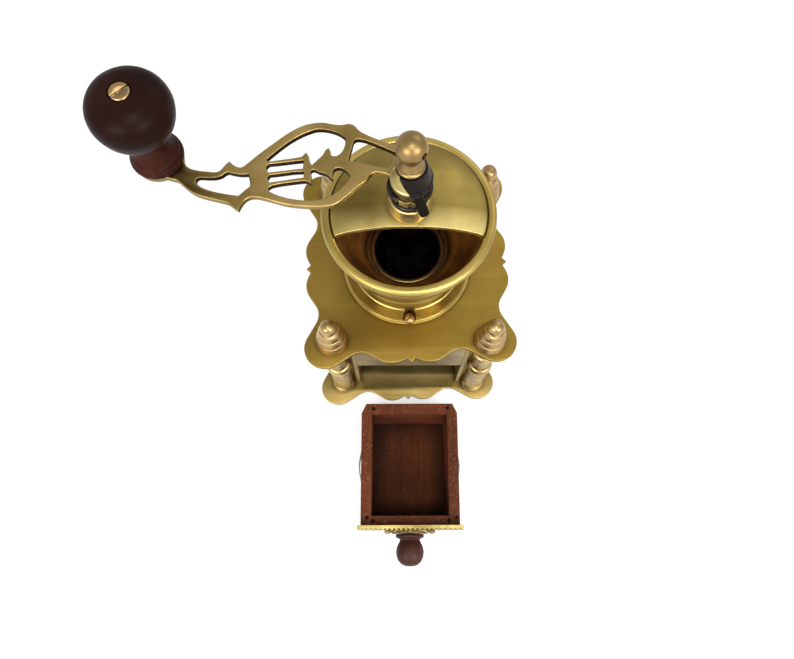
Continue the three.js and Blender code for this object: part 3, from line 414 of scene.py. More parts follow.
def brass_finish(name, bright, dull, rough, grain, grain_depth=0.004, spots=0.0, painted_shade_zone=None,
                 painted_highlight_zone=None, patch=30, grime_and_shade=0.55, engraved=None, painted_top_shade=0.0):
    """Brass with broad tarnish, a grain, worn edges with a painted highlight, and grime and painted
    shade in the hollows.

    grain is how fine the grain is along each axis, so its lines run along the axes with the low
    numbers. The zones of painted shade and painted highlight each give an axis, two places on it in
    millimetres, and how strong the painted shade or painted highlight is at the first place, with
    none at the second. The top shade is painted shade on the faces that look up, and engraved the
    heights between which the scales are cut.
    """
    material, tree, shader, place = nodes_for(name)
    shader.inputs["Metallic"].default_value = 1
    broad = noise(tree, place, patch, 3, 0.5)
    cloud = noise(tree, place, patch * 5, 5)
    lines = noise(tree, stretched(tree, place, grain), 1, 3, 0.7)
    fine = noise(tree, place, 2600, 2)
    grit = noise(tree, place, 1500, 3, 0.7)
    tone = ramp(tree, broad, [(0.34, dull), (0.66, bright)])
    tone = shaded(tree, tone, 0.7, cloud, [(0.3, (0.84, 0.82, 0.78)), (0.68, (1.04, 1.04, 1.02))])
    tone = shaded(tree, tone, 0.75, lines, [(0.3, (0.9, 0.9, 0.89)), (0.7, (1.04, 1.04, 1.04))])
    tone = shaded(tree, tone, 0.8, grit, [(0.36, (0.86, 0.85, 0.82)), (0.6, (1.03, 1.03, 1.03))])
    # Painted shade on the faces that look up.
    if painted_top_shade:
        facing = along(tree, tree.nodes.new("ShaderNodeNewGeometry").outputs["Normal"], "Z")
        tone = covered(tree, tone, spread(tree, facing, 0, painted_top_shade, 0.35, 0.95), srgb(74, 56, 30))
    # Painted shade, strongest at one end of the zone.
    if painted_shade_zone:
        tone = covered(tree, tone, zone(tree, place, *painted_shade_zone), srgb(24, 18, 6))
    # Painted highlight, strongest at one end of the zone and broken up by the clouds.
    if painted_highlight_zone:
        painted_highlight_share = times(tree, zone(tree, place, *painted_highlight_zone), spread(tree, cloud, 0.5, 1))
        tone = covered(tree, tone, painted_highlight_share, srgb(226, 206, 132))
    if spots:
        tone = shaded(
            tree, tone, 0.8, noise(tree, place, 240, 3), [(0.6, (1, 1, 1)), (0.78, (1 - spots,) * 3)])
    # Edges paler: polish from wear, and a painted highlight along the rounded edges.
    rubbed_and_highlit_edges = edges(tree, 0.9)
    polished = tuple(min(1, v * 1.25 + 0.03) for v in bright)
    tone = covered(tree, tone, times(tree, rubbed_and_highlit_edges, 0.65), polished)
    heights = [(lines, grain_depth), (fine, 0.002)]
    if engraved:
        cut = engraving(tree, place, *engraved)
        tone = covered(tree, tone, times(tree, cut, 0.62), srgb(52, 40, 18))
        heights.append((spread(tree, cut, 1, 0, 0, 1), 0.16))
    # Painted shade, with some grime, in corners and where pieces meet.
    tone = covered(tree, tone, times(tree, hollows(tree, 3.5), grime_and_shade), srgb(58, 42, 16))
    tree.links.new(tone, shader.inputs["Base Color"])
    sheen = spread(tree, cloud, rough + 0.06, rough - 0.05)
    tree.links.new(
        arithmetic(tree, "SUBTRACT", sheen, times(tree, rubbed_and_highlit_edges, 0.08)), shader.inputs["Roughness"])
    bump(tree, shader, heights)
    return material


def wood_finish(name, light, dark, rough, fibre_axis, scale=1.0, gloss=0.12, grime_and_shade=0.6,
                grime_and_shade_reach=4, worn=None, darkened_zone=None, contrast=0.66, flecks=None):
    """Wood whose fibres run along one axis, with growth bands, pores, worn edges, and old grime and
    painted shade in the hollows.

    The darkened zone gives an axis, two places on it in millimetres, and how much darker the wood
    is at the first place than at the second; contrast is the tone of the darker patches, and flecks
    the colour of small scuffs.
    """
    material, tree, shader, place = nodes_for(name)

    def fibrous(across, lengthways, detail, roughness):
        stretch = [across * scale] * 3
        stretch[fibre_axis] = lengthways * scale
        return noise(tree, stretched(tree, place, stretch), 1, detail, roughness)

    bands = fibrous(42, 5, 6, 0.6)
    fibres = fibrous(1400, 60, 4, 0.65)
    pores = fibrous(2600, 240, 2, 0.5)
    patches = noise(tree, place, 38, 4)
    middle = tuple((a + b) / 2 for a, b in zip(light, dark))
    shadow = (contrast, contrast * 0.96, contrast * 0.93)
    tone = ramp(tree, bands, [(0.3, dark), (0.52, middle), (0.72, light)])
    tone = shaded(tree, tone, 0.7, fibres, [(0.3, (0.68, 0.68, 0.68)), (0.65, (1.05, 1.05, 1.05))])
    tone = shaded(tree, tone, 0.65, pores, [(0.3, (0.4, 0.4, 0.4)), (0.42, (1, 1, 1))])
    tone = shaded(tree, tone, 0.75, patches, [(0.3, shadow), (0.7, (1.05, 1.05, 1.05))])
    if flecks:
        scuffs = spread(tree, noise(tree, place, 620, 5, 0.75), 0, 0.6, 0.55, 0.68)
        tone = covered(tree, tone, scuffs, flecks)
        specks = noise(tree, place, 900, 4, 0.8)
        tone = shaded(tree, tone, 0.8, specks, [(0.36, (0.5, 0.45, 0.42)), (0.5, (1, 1, 1))])
    # Darker towards one end of the zone.
    if darkened_zone:
        tone = covered(tree, tone, zone(tree, place, *darkened_zone), srgb(24, 13, 11))
    if worn:
        tone = covered(tree, tone, times(tree, edges(tree, 1.0), spread(tree, patches, 0.1, 0.8)), worn)
    # Painted shade, with some old grime, in corners and where pieces meet.
    tone = covered(tree, tone, times(tree, hollows(tree, grime_and_shade_reach), grime_and_shade), srgb(22, 11, 8))
    tree.links.new(tone, shader.inputs["Base Color"])
    tree.links.new(spread(tree, fibres, rough + 0.1, rough - 0.06), shader.inputs["Roughness"])
    shader.inputs["Specular IOR Level"].default_value = gloss
    bump(tree, shader, [(fibres, 0.03), (pores, 0.03)])
    return material


def iron_finish(name, light, dark, rough, depth, metallic=0.85, painted_shade_below=None, gloss=0.5):
    """Blackened iron or dark oiled steel with scale, worn edges, painted shade in the hollows, and
    near-black painted shade below a height.
    """
    material, tree, shader, place = nodes_for(name)
    shader.inputs["Metallic"].default_value = metallic
    shader.inputs["Specular IOR Level"].default_value = gloss
    scale = noise(tree, place, 420, 6, 0.65)
    tone = ramp(tree, noise(tree, place, 110, 4), [(0.35, dark), (0.72, light)])
    bare = tuple(min(1, v * 1.8 + 0.02) for v in light)
    tone = covered(tree, tone, times(tree, edges(tree, 0.6), 0.5), bare)
    # Near-black painted shade below the height.
    if painted_shade_below:
        tone = covered(tree, tone, zone(tree, place, "Z", painted_shade_below, painted_shade_below + 6, 1), srgb(9, 8, 7))
    # Painted shade, with some grime, in hollows and where pieces meet.
    tone = covered(tree, tone, times(tree, hollows(tree, 2.5), 0.5), srgb(12, 10, 9))
    tree.links.new(tone, shader.inputs["Base Color"])
    tree.links.new(spread(tree, scale, rough + 0.12, rough - 0.1), shader.inputs["Roughness"])
    bump(tree, shader, [(scale, depth)])
    return material


THROAT_TOP = DECK + 24


def stain_finish(name, light, dark, rough):
    """Brass inside the bowl, stained brown by the beans' oil and burnished in rings."""
    material, tree, shader, place = nodes_for(name)
    shader.inputs["Metallic"].default_value = 0.6
    cloud = noise(tree, place, 60, 5)
    rings = noise(tree, stretched(tree, place, (20, 20, 700)), 1, 3, 0.6)
    tone = ramp(tree, cloud, [(0.32, dark), (0.68, light)])
    tone = shaded(tree, tone, 0.6, rings, [(0.35, (0.7, 0.66, 0.6)), (0.65, (1, 1, 1))])
    # Painted shade, with some grime, in the hollows of the bowl, and darker towards the throat.
    tone = covered(tree, tone, times(tree, hollows(tree, 9), 0.4), srgb(36, 20, 8))
    tone = covered(tree, tone, zone(tree, place, "Z", THROAT_TOP, THROAT_TOP + 6, 0.6), srgb(58, 40, 18))
    tree.links.new(tone, shader.inputs["Base Color"])
    tree.links.new(spread(tree, rings, rough + 0.08, rough - 0.06), shader.inputs["Roughness"])
    bump(tree, shader, [(rings, 0.02)])
    return material


# Grain of each way of working the brass
ROLLED = (18, 420, 18)
TURNED = (30, 30, 1500)
CAST = (60, 60, 60)

# The top plate gets painted shade towards its left, and the lower plate painted shade in the bay under
# the top plate.
PLATE_BRASS = brass_finish(
    "satin plate brass", srgb(156, 130, 60), srgb(126, 102, 45), 0.42, ROLLED, patch=16,
    painted_shade_zone=("X", -45, 45, 0.14))
LOWER_BRASS = brass_finish(
    "worn plate brass", srgb(190, 167, 106), srgb(158, 133, 74), 0.4, ROLLED, patch=18,
    painted_shade_zone=("Y", -38, -52, 0.52))
HOPPER_BRASS = brass_finish(
    "polished hopper brass", srgb(184, 162, 92), srgb(150, 127, 65), 0.36, (14, 14, 900), patch=20,
    grime_and_shade=0.3)
BOWL_STAIN = stain_finish("stained bowl brass", srgb(192, 130, 57), srgb(120, 72, 30), 0.5)
# The cover gets painted shade towards its right side and a painted highlight along its front edge.
COVER_BRASS = brass_finish(
    "satin cover brass", srgb(152, 134, 74), srgb(122, 103, 50), 0.36, (22, 380, 22), patch=16,
    painted_shade_zone=("X", 34, -6, 0.2), painted_highlight_zone=("Y", -11, 0, 1))
TURNED_BRONZE = brass_finish(
    "turned pink bronze", srgb(200, 173, 122), srgb(166, 136, 90), 0.36, TURNED, spots=0.3, grime_and_shade=0.5,
    painted_top_shade=0.45)
ENGRAVED_BRONZE = brass_finish(
    "engraved column bronze", srgb(204, 180, 122), srgb(164, 136, 84), 0.36, TURNED, spots=0.3, grime_and_shade=0.4,
    engraved=(11.5, 43))
ARM_BRASS = brass_finish(
    "cast arm brass", srgb(160, 137, 85), srgb(128, 106, 60), 0.36, CAST, 0.02, spots=0.25)
HUB_BRASS = brass_finish(
    "pale hub brass", srgb(206, 192, 128), srgb(184, 168, 106), 0.4, CAST, 0.02, grime_and_shade=0.3)
BALL_BRASS = brass_finish(
    "satin ball brass", srgb(176, 150, 100), srgb(146, 120, 78), 0.38, TURNED, grime_and_shade=0.45, painted_top_shade=0.5)
BOX_BRASS = brass_finish(
    "dull box brass", srgb(176, 156, 108), srgb(140, 120, 76), 0.45, (16, 300, 16), spots=0.2)
NUT_BRASS = brass_finish(
    "bright nut brass", srgb(220, 198, 134), srgb(192, 166, 102), 0.4, (30, 30, 1600), grime_and_shade=0.45)
SCREW_BRONZE = brass_finish(
    "old screw bronze", srgb(170, 136, 84), srgb(126, 94, 54), 0.34, CAST, spots=0.3, grime_and_shade=0.8)
ROSETTE_BRONZE = brass_finish(
    "old rosette bronze", srgb(162, 144, 92), srgb(106, 88, 52), 0.36, CAST, spots=0.3, grime_and_shade=0.8)
FRONT_BRASS = brass_finish(
    "drawer front brass", srgb(176, 158, 98), srgb(130, 111, 60), 0.38, (300, 18, 18), spots=0.4,
    patch=60)
# Near-black brass as painted shade on the walls of the arm's windows and in the pin's hole.
PAINTED_SHADE_BRASS = brass_finish(
    "painted shade in windows and holes", srgb(52, 40, 24), srgb(30, 23, 14), 0.6, CAST, spots=0.3, grime_and_shade=0.8)
DARK_STEEL = iron_finish("dark oiled steel", srgb(66, 60, 60), srgb(28, 24, 24), 0.36, 0.01)
# Near-black painted shade on the spindle below the cover, down in the throat.
SPINDLE_STEEL = iron_finish(
    "oiled spindle steel", srgb(92, 88, 84), srgb(44, 40, 38), 0.4, 0.01, painted_shade_below=166)
SPRING_STEEL = iron_finish("grey spring steel", srgb(136, 134, 126), srgb(90, 88, 82), 0.36, 0.006)
CATCH_IRON = iron_finish("blackened catch iron", srgb(42, 33, 30), srgb(18, 14, 13), 0.44, 0.03)
# Dark iron, made near black as painted shade deep in the throat.
BURR_IRON_AND_PAINTED_SHADE = iron_finish("burr iron darkened as painted shade", srgb(13, 10, 9), srgb(6, 5, 5), 0.85, 0.05, metallic=0, gloss=0.03)
NAIL_IRON = iron_finish(
    "rusted nail iron", srgb(38, 19, 14), srgb(16, 9, 8), 0.8, 0.03, metallic=0, gloss=0.04)
# The knob is darker towards its top.
KNOB_WOOD = wood_finish(
    "dark knob wood", srgb(88, 44, 33), srgb(26, 13, 11), 0.34, 2, 0.8, gloss=0.035, grime_and_shade=0.5,
    darkened_zone=("Z", 234, 206, 0.8), contrast=0.34)
DRAWER_WEAR = dict(worn=srgb(56, 31, 22), contrast=0.56, flecks=srgb(158, 98, 62))
DRAWER_WOOD = wood_finish(
    "red drawer wood", srgb(124, 67, 41), srgb(68, 35, 21), 0.6, 1, gloss=0.08, **DRAWER_WEAR)
DRAWER_END_WOOD = wood_finish(
    "red drawer end wood", srgb(120, 64, 40), srgb(65, 33, 21), 0.6, 0, gloss=0.08, **DRAWER_WEAR)
GRIP_WOOD = wood_finish(
    "turned grip wood", srgb(98, 57, 45), srgb(52, 26, 21), 0.45, 1, gloss=0.15, grime_and_shade=0.4)
# The drawer floor's grime and painted shade reach far, so it darkens towards its walls.
FLOOR_WOOD = wood_finish(
    "drawer floor wood", srgb(106, 58, 31), srgb(58, 29, 17), 0.62, 1, gloss=0.06, grime_and_shade=0.85,
    grime_and_shade_reach=14, contrast=0.56, flecks=srgb(112, 66, 40))


def painted(piece, material):
    piece.data.materials.clear()
    piece.data.materials.append(material)
    return piece


def dress(piece, material, body, slot, *nodes):
    """Gives a new piece its finish and body, and hides the CAD nodes it stands for. The slot is not
    used.
    """
    if material:
        painted(piece, material)
    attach(piece, body)
    if nodes:
        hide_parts(*nodes)


def second_finish(piece, material, chosen):
    """Another finish on the faces whose centre and normal are chosen."""
    pick(piece)
    bpy.ops.object.mode_set(mode="EDIT")
    bpy.ops.mesh.select_all(action="DESELECT")
    bpy.ops.object.mode_set(mode="OBJECT")
    for face in piece.data.polygons:
        face.select = chosen(face.center / MM, face.normal)
    piece.data.materials.append(material)
    piece.active_material_index = len(piece.data.materials) - 1
    bpy.ops.object.mode_set(mode="EDIT")
    bpy.ops.object.material_slot_assign()
    bpy.ops.object.mode_set(mode="OBJECT")


def finish_node(node, material, edge=0.0):
    """A CAD node that stays: a material, and softly broken edges."""
    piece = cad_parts[node]
    for slot in piece.material_slots:
        slot.material = material
    if edge:
        weld = piece.modifiers.new("weld", "WELD")
        weld.merge_threshold = 1e-6
        bevel = piece.modifiers.new("broken edges", "BEVEL")
        bevel.width = edge * MM
        bevel.segments = 3
        bevel.limit_method = "ANGLE"
        bevel.angle_limit = math.radians(40)


# The plates: a belt round wheels gives the outline, as a pattern maker lays it out


BELT_STEP = math.radians(5)


def belt(wheels):
    """The outline round wheels with a reach: below 0 it passes inside them, and 0 is a corner."""
    lines = []
    for (x, y, reach), (next_x, next_y, next_reach) in zip(wheels, wheels[1:] + wheels[:1]):
        span = math.hypot(next_x - x, next_y - y)
        heading = math.atan2(next_y - y, next_x - x) - math.asin((next_reach - reach) / span)
        lines.append(heading)
    points = []
    for i, (x, y, reach) in enumerate(wheels):
        before, after = lines[i - 1], lines[i]
        if reach == 0:
            points.append((x, y))
            continue
        way = math.copysign(1, reach)
        sweep = ((after - before) * way) % (2 * math.pi)
        count = max(2, math.ceil(sweep / BELT_STEP))
        for k in range(count + 1):
            heading = before + way * sweep * k / count
            points.append((x + reach * math.sin(heading), y - reach * math.cos(heading)))
    return points


PLATE_HALF = 56.94
PLATE_TURN = math.radians(2.3)
PLATE_WHEELS = [
    (-0.8026, -0.8026, 0.1974), (-0.4675, -1.0351, -0.1737), (-0.1772, -0.7684, 0.207),
    (-0.036, -0.9307, 0), (0, -0.9702, 0), (0.036, -0.9307, 0), (0.1772, -0.7684, 0.207),
    (0.4675, -1.0351, -0.1737),
]


def plate_outline():
    wheels = []
    for quarter in range(4):
        angle = PLATE_TURN + quarter * math.pi / 2
        c, s = math.cos(angle) * PLATE_HALF, math.sin(angle) * PLATE_HALF
        wheels += [(x * c - y * s, x * s + y * c, reach * PLATE_HALF) for x, y, reach in PLATE_WHEELS]
    return belt(wheels)


def ring(radius, count, centre=(0, 0)):
    return [
        (centre[0] + radius * math.cos(2 * math.pi * k / count),
         centre[1] + radius * math.sin(2 * math.pi * k / count))
        for k in range(count)
    ]


CORNERS = ("front_left", "front_right", "rear_left", "rear_right")
PLATE_EDGE = 0.35
COUNTERSINK, THROAT_HOLE = 4.6, 20.5
LOWER_TOP = top_of("bottom_plate")

foot_holes = [ring(COUNTERSINK, 32, centre_of(f"foot_screw_{corner}")) for corner in CORNERS]
lower = sheet_form("bottom_plate_casting", [plate_outline(), *foot_holes], 0, LOWER_TOP, PLATE_EDGE)
dress(lower, LOWER_BRASS, "mill", "plate_brass", "bottom_plate")
upper = sheet_form(
    "top_plate_casting", [plate_outline(), ring(THROAT_HOLE, 96)], foot_of("top_plate"), DECK,
    PLATE_EDGE)
dress(upper, PLATE_BRASS, "mill", "plate_brass", "top_plate")

# Columns and finials
column_profile = strokes(
    [(0, 0), (6.5, 0)],
    [(7.1, 0.9), (7.3, 2.4), (7.0, 4.0), (6.4, 4.8)],
    [(5.7, 5.4), (5.6, 6.2), (5.8, 6.8)],
    [(6.3, 7.2), (6.3, 8.4)],
    [(6.2, 40), (6.15, 41.2)],
    [(5.5, 42.2), (5.5, 43.6)],
    [(6.6, 44.4), (7.3, 46.2), (7.4, 48.4), (7.3, 50.6), (6.6, 52.4)],
    [(5.6, 53.2), (5.4, 54.2)],
    [(5.0, 60), (4.9, 66), (5.2, 71.5), (5.8, 73.2)],
    [(6.5, 74.0), (6.8, 75.4), (6.5, 76.8), (5.6, 77.8)],
    [(5.3, 78.6), (5.4, 84), (5.7, 89.5), (6.1, 91.4)],
    [(6.6, 92.2), (6.6, 96.3)],
    [(0, 96.3)],
)
finial_profile = strokes(
    [(0, 0), (8.3, 0)],
    [(8.7, 0.8), (8.6, 2.6), (8.2, 4.8), (7.6, 7.0)],
    [(7.0, 7.3), (7.0, 7.7)],
    [(7.5, 8.4), (7.4, 10.0), (6.9, 12.0), (6.3, 13.6)],
    [(5.7, 13.9), (5.7, 14.3)],
    [(6.2, 15.0), (6.1, 16.5), (5.6, 18.4), (5.0, 19.8)],
    [(4.0, 20.2), (3.9, 20.7)],
    [(4.4, 21.7), (4.5, 23.2), (4.0, 25.4), (2.6, 27.2), (0, 27.9)],
)
foot_screw_profile = [(0, 0), (3.9, 0), (4.1, 0.3), (2.1, 1.8), (2.1, 3), (0, 3)]
for i, corner in enumerate(CORNERS):
    centre = centre_of(f"column_{corner}")
    column = turn(f"turned_column_{corner}", column_profile, centre, LOWER_TOP, 64)
    dress(column, ENGRAVED_BRONZE, "mill", "turned_brass", f"column_{corner}")
    finial = turn(f"stepped_finial_{corner}", finial_profile, centre, DECK, 64)
    dress(finial, TURNED_BRONZE, "mill", "turned_brass", f"finial_{corner}")
    screw = turn(f"foot_screw_head_{corner}", foot_screw_profile, centre, 0, SMALL_STEPS)
    saw_slot(screw, centre, 1, -1, 0.9, 35 + 50 * i)
    dress(screw, TURNED_BRONZE, "mill", "turned_brass", f"foot_screw_{corner}")

# The box between the plates stays as the sheet metal it is
for node in ("box_side_left", "box_side_right", "box_rear", "box_front_panel"):
    finish_node(node, BOX_BRASS, 0.3)

# Hopper: rolled rim, bowl, stepped waist, and a foot screwed down on the plate
hopper_profile = strokes(
    [(20.2, 0), (34.7, 0)],
    [(34.95, 0.7), (34.7, 1.6)],
    [(34.0, 1.7)],
    [(33.9, 2.3), (33.5, 2.7), (33.0, 2.6)],
    [(32.6, 2.5), (32.4, 2.9)],
    [(31.9, 4.6), (31.2, 6.8), (30.5, 9.0), (30.1, 10.4)],
    [(29.5, 10.9), (29.2, 11.8)],
    [(29.1, 14.5), (29.3, 17.5), (30.0, 19.6)],
    [(31.0, 20.6), (31.6, 22.2), (31.5, 23.8), (31.0, 25.0)],
    [(30.9, 26), (31.6, 30), (33.3, 36.5), (36.1, 47), (38.6, 55.6)],
    [(39.0, 57.0), (39.9, 57.6), (40.3, 58.4), (39.9, 59.2)],
    [(39.8, 59.7), (40.7, 60.9), (41.3, 62.7), (41.2, 64.3), (40.5, 65.3), (39.4, 65.7),
     (38.2, 65.6), (37.4, 65.3), (37.0, 64.9)],
    [(36.95, 62.6)],
    [(36.2, 60.8), (35.3, 57), (33.9, 50), (31.5, 43), (28.4, 37), (25.2, 32.4)],
    [(23.6, 31.2), (22.2, 29.0), (21.6, 26.4)],
    [(21.2, 23.0), (19.6, 22.6)],
    [(19.3, 23.2), (18.4, 23.5), (17.5, 23.2), (17.1, 22.6)],
    [(17.1, 20.4)],
    [(20.2, 20.4)],
)
SCREW_NODES = ("hopper_screw_front", "hopper_screw_rear_right", "hopper_screw_rear_left")
SCREW_SEAT = DECK + 2
BOWL_MOUTH, BOWL_FOOT = 36.9, DECK + 20
hopper = turn("hopper_casting", hopper_profile, (0, 0), DECK, 128, closed=True)
for node in SCREW_NODES:
    carve(hopper, turn("recess", [(0, 1.9), (3.4, 1.9), (3.4, 13), (0, 13)], centre_of(node), DECK, 48))


def in_bowl(at, normal):
    """True for the faces inside the bowl, which look inwards or up."""
    reach = math.hypot(at.x, at.y)
    outward = normal.x * at.x + normal.y * at.y
    return reach < BOWL_MOUTH and at.z > BOWL_FOOT and outward < 0.3 * reach


painted(hopper, HOPPER_BRASS)
second_finish(hopper, BOWL_STAIN, in_bowl)
dress(hopper, None, "mill", "plate_brass", "hopper")

round_head = strokes(
    [(0, 0), (3.1, 0)], [(3.25, 0.5), (3.0, 1.2), (2.2, 1.8), (1.1, 2.1), (0, 2.15)])
for i, node in enumerate(SCREW_NODES):
    centre = centre_of(node)
    screw = turn(node + "_head", round_head, centre, SCREW_SEAT, SMALL_STEPS)
    saw_slot(screw, centre, 0.8, SCREW_SEAT + 0.9, SCREW_SEAT + 4, 47 + 67 * i)
    dress(screw, SCREW_BRONZE, "mill", "turned_brass", node)

# Half cover: a low dome on a band that stands inside the rim, with its front cut away
COVER_CROWN = top_of("hopper_cover")
COVER_WALL = 1.7
BAND_RADIUS, BAND_TOP = 36.7, -7.6
BAND_INSIDE = BAND_RADIUS - COVER_WALL
BAND_ABOVE_DECK = 62.1
BAND_FOOT = DECK + BAND_ABOVE_DECK - COVER_CROWN
FRONT_EDGE, FRONT_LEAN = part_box("hopper_cover")[0].y / MM, 0.23
dome_outside = [(36.5, -6.9), (35.8, -6.2), (32, -4.6), (27, -3.0), (21, -1.5), (15, -0.5), (10.4, 0)]
dome = turn(
    "half_cover_dome",
    strokes([(BAND_RADIUS, BAND_FOOT), (BAND_RADIUS, BAND_TOP)], dome_outside, [(6.9, 0)],
            [(6.9, -COVER_WALL)], [(10.4, -COVER_WALL)],
            [(x, z - COVER_WALL) for x, z in reversed(dome_outside[2:-1])] + [(BAND_INSIDE, -8.4)],
            [(BAND_INSIDE, BAND_FOOT)]),
    (0, 0), COVER_CROWN, 128, closed=True)
cut_away(dome, (0, FRONT_EDGE, COVER_CROWN), (0, 1, -FRONT_LEAN))
modify(dome, "BEVEL", width=0.75 * MM, segments=4, limit_method="ANGLE", angle_limit=math.radians(50))
settle(dome, "half_cover_dome")
dress(dome, COVER_BRASS, "mill", "plate_brass", "hopper_cover")

# Bearing in the crown of the cover
boss = turn("bearing_boss_turning", strokes(
    [(6.1, -5.2), (6.6, -5.2)], [(6.6, 0)], [(9.9, 0)],
    [(10.2, 0.5), (10.15, 1.6), (9.8, 3.0), (9.4, 4.8), (9.2, 6.6)],
    [(9.1, 7.6), (8.6, 8.0)], [(6.1, 8.0)], [(6.1, -5.2)]), (0, 0), top_of("bearing_boss") - 8)
dress(boss, NUT_BRASS, "mill", "plate_brass", "bearing_boss")
bush = turn("spindle_bush_flange", strokes(
    [(4.3, 0), (8.4, 0)], [(8.6, 0.3), (8.6, 2.1), (8.2, 2.6)], [(4.3, 2.6)], [(4.3, 0)]),
    (0, 0), top_of("spindle_bush") - 2.6, 64)
dress(bush, DARK_STEEL, "mill", "dark_steel", "spindle_bush")
finish_node("boss_ring_nut", NUT_BRASS, 0.3)
for node in ("burr_ring", "burr_cone", "burr_bridge"):
    finish_node(node, BURR_IRON_AND_PAINTED_SHADE)
for node in ("bridge_screw_left", "bridge_screw_right"):
    finish_node(node, DARK_STEEL)
finish_node("spindle", SPINDLE_STEEL)
finish_node("grind_set_nut", NUT_BRASS, 0.25)
finish_node("lock_plate", DARK_STEEL, 0.25)

# Crank arm: outline and windows along the reach (u) and towards the back (v), in millimetres
REACH = 108.2
ARM_TURN = math.radians(174.4)
ARM_LOW, ARM_TOP = 195, 198
SAME_POINT = 0.02


def arm_point(u, v):
    """Takes a point of the arm into the mill's frame, and one of the mill's into the arm's."""
    c, s = math.cos(ARM_TURN), math.sin(ARM_TURN)
    return (u * c + v * s, u * s - v * c)


def arm_run(*runs):
    """Closed outline on the arm from smooth runs that meet at corners."""
    points = []
    for run in runs:
        for point in spline(run, 3):
            if not points or math.dist(points[-1], point) > SAME_POINT:
                points.append(point)
    if math.dist(points[0], points[-1]) < SAME_POINT:
        points.pop()
    return points


def arc(x, y, radius, start, end, count):
    return [
        (x + radius * math.cos(math.radians(start + (end - start) * k / count)),
         y + radius * math.sin(math.radians(start + (end - start) * k / count)))
        for k in range(count + 1)
    ]


arm_upper = [
    (4.3, 13.7), (8.6, 15.8), (14, 17.3), (20, 19.3), (23.8, 21.1), (26.5, 23.6), (28.9, 24.3),
    (31.8, 23.5), (35.3, 23.3), (40, 23.8), (44, 23.2), (48.2, 21.7), (52, 19.3), (56, 15.9), (60, 11.8),
    (66, 5.5), (70, 0.8), (72, -1.1), (73.8, -1.3), (76, -0.3), (77.8, 1.1),
]
arm_upper_end = [(77.8, 1.1), (79.2, -0.6), (81, -3.6), (83, -4.6), (86, -4.7), (90, -4.6), (93.1, -4.1),
                 (95.5, -3), (97, -0.9)]
arm_lower = [(103, -9.4), (100, -10), (98, -10.4), (96, -11.8), (94, -13.3), (91, -15.2), (87, -16.6),
             (82, -17.5), (78, -18.1), (74.7, -18.9), (71.9, -20.7), (70.3, -21.5)]
arm_lower_end = [
    (70.3, -21.5), (69.5, -19), (68.2, -16.6), (66, -15.1), (63, -14.8), (58, -15.6), (52, -16.8),
    (46, -17.2), (40, -17), (34, -16.3), (30, -14.7), (27, -11.8), (24, -8.5), (21, -5), (18.4, -2.6),
    (17.2, 0), (15.7, 1.4), (13.5, 1.7), (10, 1.3), (7.5, 0),
]
arm_windows = [
    arm_run(
        [(5, 9.1), (6.4, 11), (9, 12.5), (14, 14.3), (20, 16.3), (24, 16.8), (25.7, 15.7), (26.2, 12.3),
         (26.8, 8.6), (27, 6)],
        [(27, 6), (23, 6), (19, 5.4), (15, 4.6), (10.7, 4.5), (8.9, 5.6), (8.6, 9.1), (7.1, 10.1),
         (5, 9.1)]),
    arm_run(
        [(29.7, 16.8), (32.5, 18.7), (37, 20), (42, 20), (46, 18.3), (50, 15.7), (54, 12.3), (58, 8),
         (62, 3.3)],
        [(62, 3.3), (61.2, 2.6)],
        [(61.2, 2.6), (59, 3.1), (53, 4.6), (48, 6), (46.9, 6.8)],
        [(46.9, 6.8), (45.8, 8.5)],
        [(45.8, 8.5), (44.5, 7), (43.5, 4.3), (42.5, 2.7)],
        [(42.5, 2.7), (40.4, 5.4), (38.5, 7.9), (37.7, 10.1), (36.4, 11.6)],
        [(36.4, 11.6), (35.4, 10.2), (34.8, 8)],
        [(34.8, 8), (33, 7.9), (31.4, 8.9), (30.1, 11), (29.5, 14), (29.7, 16.8)]),
    arm_run(
        [(46.2, 4.3), (50, 3.5), (56, 2.1), (60.6, 1.1)],
        [(60.6, 1.1), (61.4, 0), (61.4, -1.4), (60.3, -2.6)],
        [(60.3, -2.6), (55, -1.4), (50, -0.2), (46.1, 0.7)], [(46.1, 0.7), (46.2, 4.3)]),
    arm_run(
        [(45.5, -1), (50, -1.7), (56, -3.2), (59.6, -4)], [(59.6, -4), (60.2, -5.6), (59.5, -7.3)],
        [(59.5, -7.3), (54, -5.9), (50, -4.8), (45.2, -3.5)], [(45.2, -3.5), (45.5, -1)]),
    arm_run(
        [(25.7, -1.3), (27, 0.4), (29, 1.9), (31, 2.2), (32.5, 1.5), (33, -0.6), (32.5, -3.7)],
        [(32.5, -3.7), (34.2, -2.6), (36, -1.2), (38.8, -0.6), (41.1, 0.3), (42.4, -0.6), (41.8, -3.2),
         (41.3, -6.6)],
        [(41.3, -6.6), (42.8, -5.8), (44.5, -5.4), (50, -6.6), (55, -7.9), (58.1, -9)],
        [(58.1, -9), (59.3, -10.2), (58.6, -11.6)],
        [(58.6, -11.6), (55, -12.9), (50, -13.9), (45, -14.2), (40, -13.9), (35.5, -12.6), (32, -10.5),
         (29, -7.3), (26.6, -3.7), (25.7, -1.3)]),
    arm_run(
        [(68.8, -4.5), (72, -4.9), (74.9, -4.7), (77.3, -4.3)],
        [(77.3, -4.3), (78.5, -4.9), (80, -6.4), (82.4, -7.4), (85.6, -7.8), (89, -8), (90.3, -9.1),
         (89.9, -10.9)],
        [(89.9, -10.9), (87, -12.5), (83, -13.6), (78, -14.3), (72, -14.7), (71, -14.2)],
        [(71, -14.2), (69, -11.8), (67.2, -9.8)], [(67.2, -9.8), (67.8, -7.1), (68.8, -4.5)]),
]
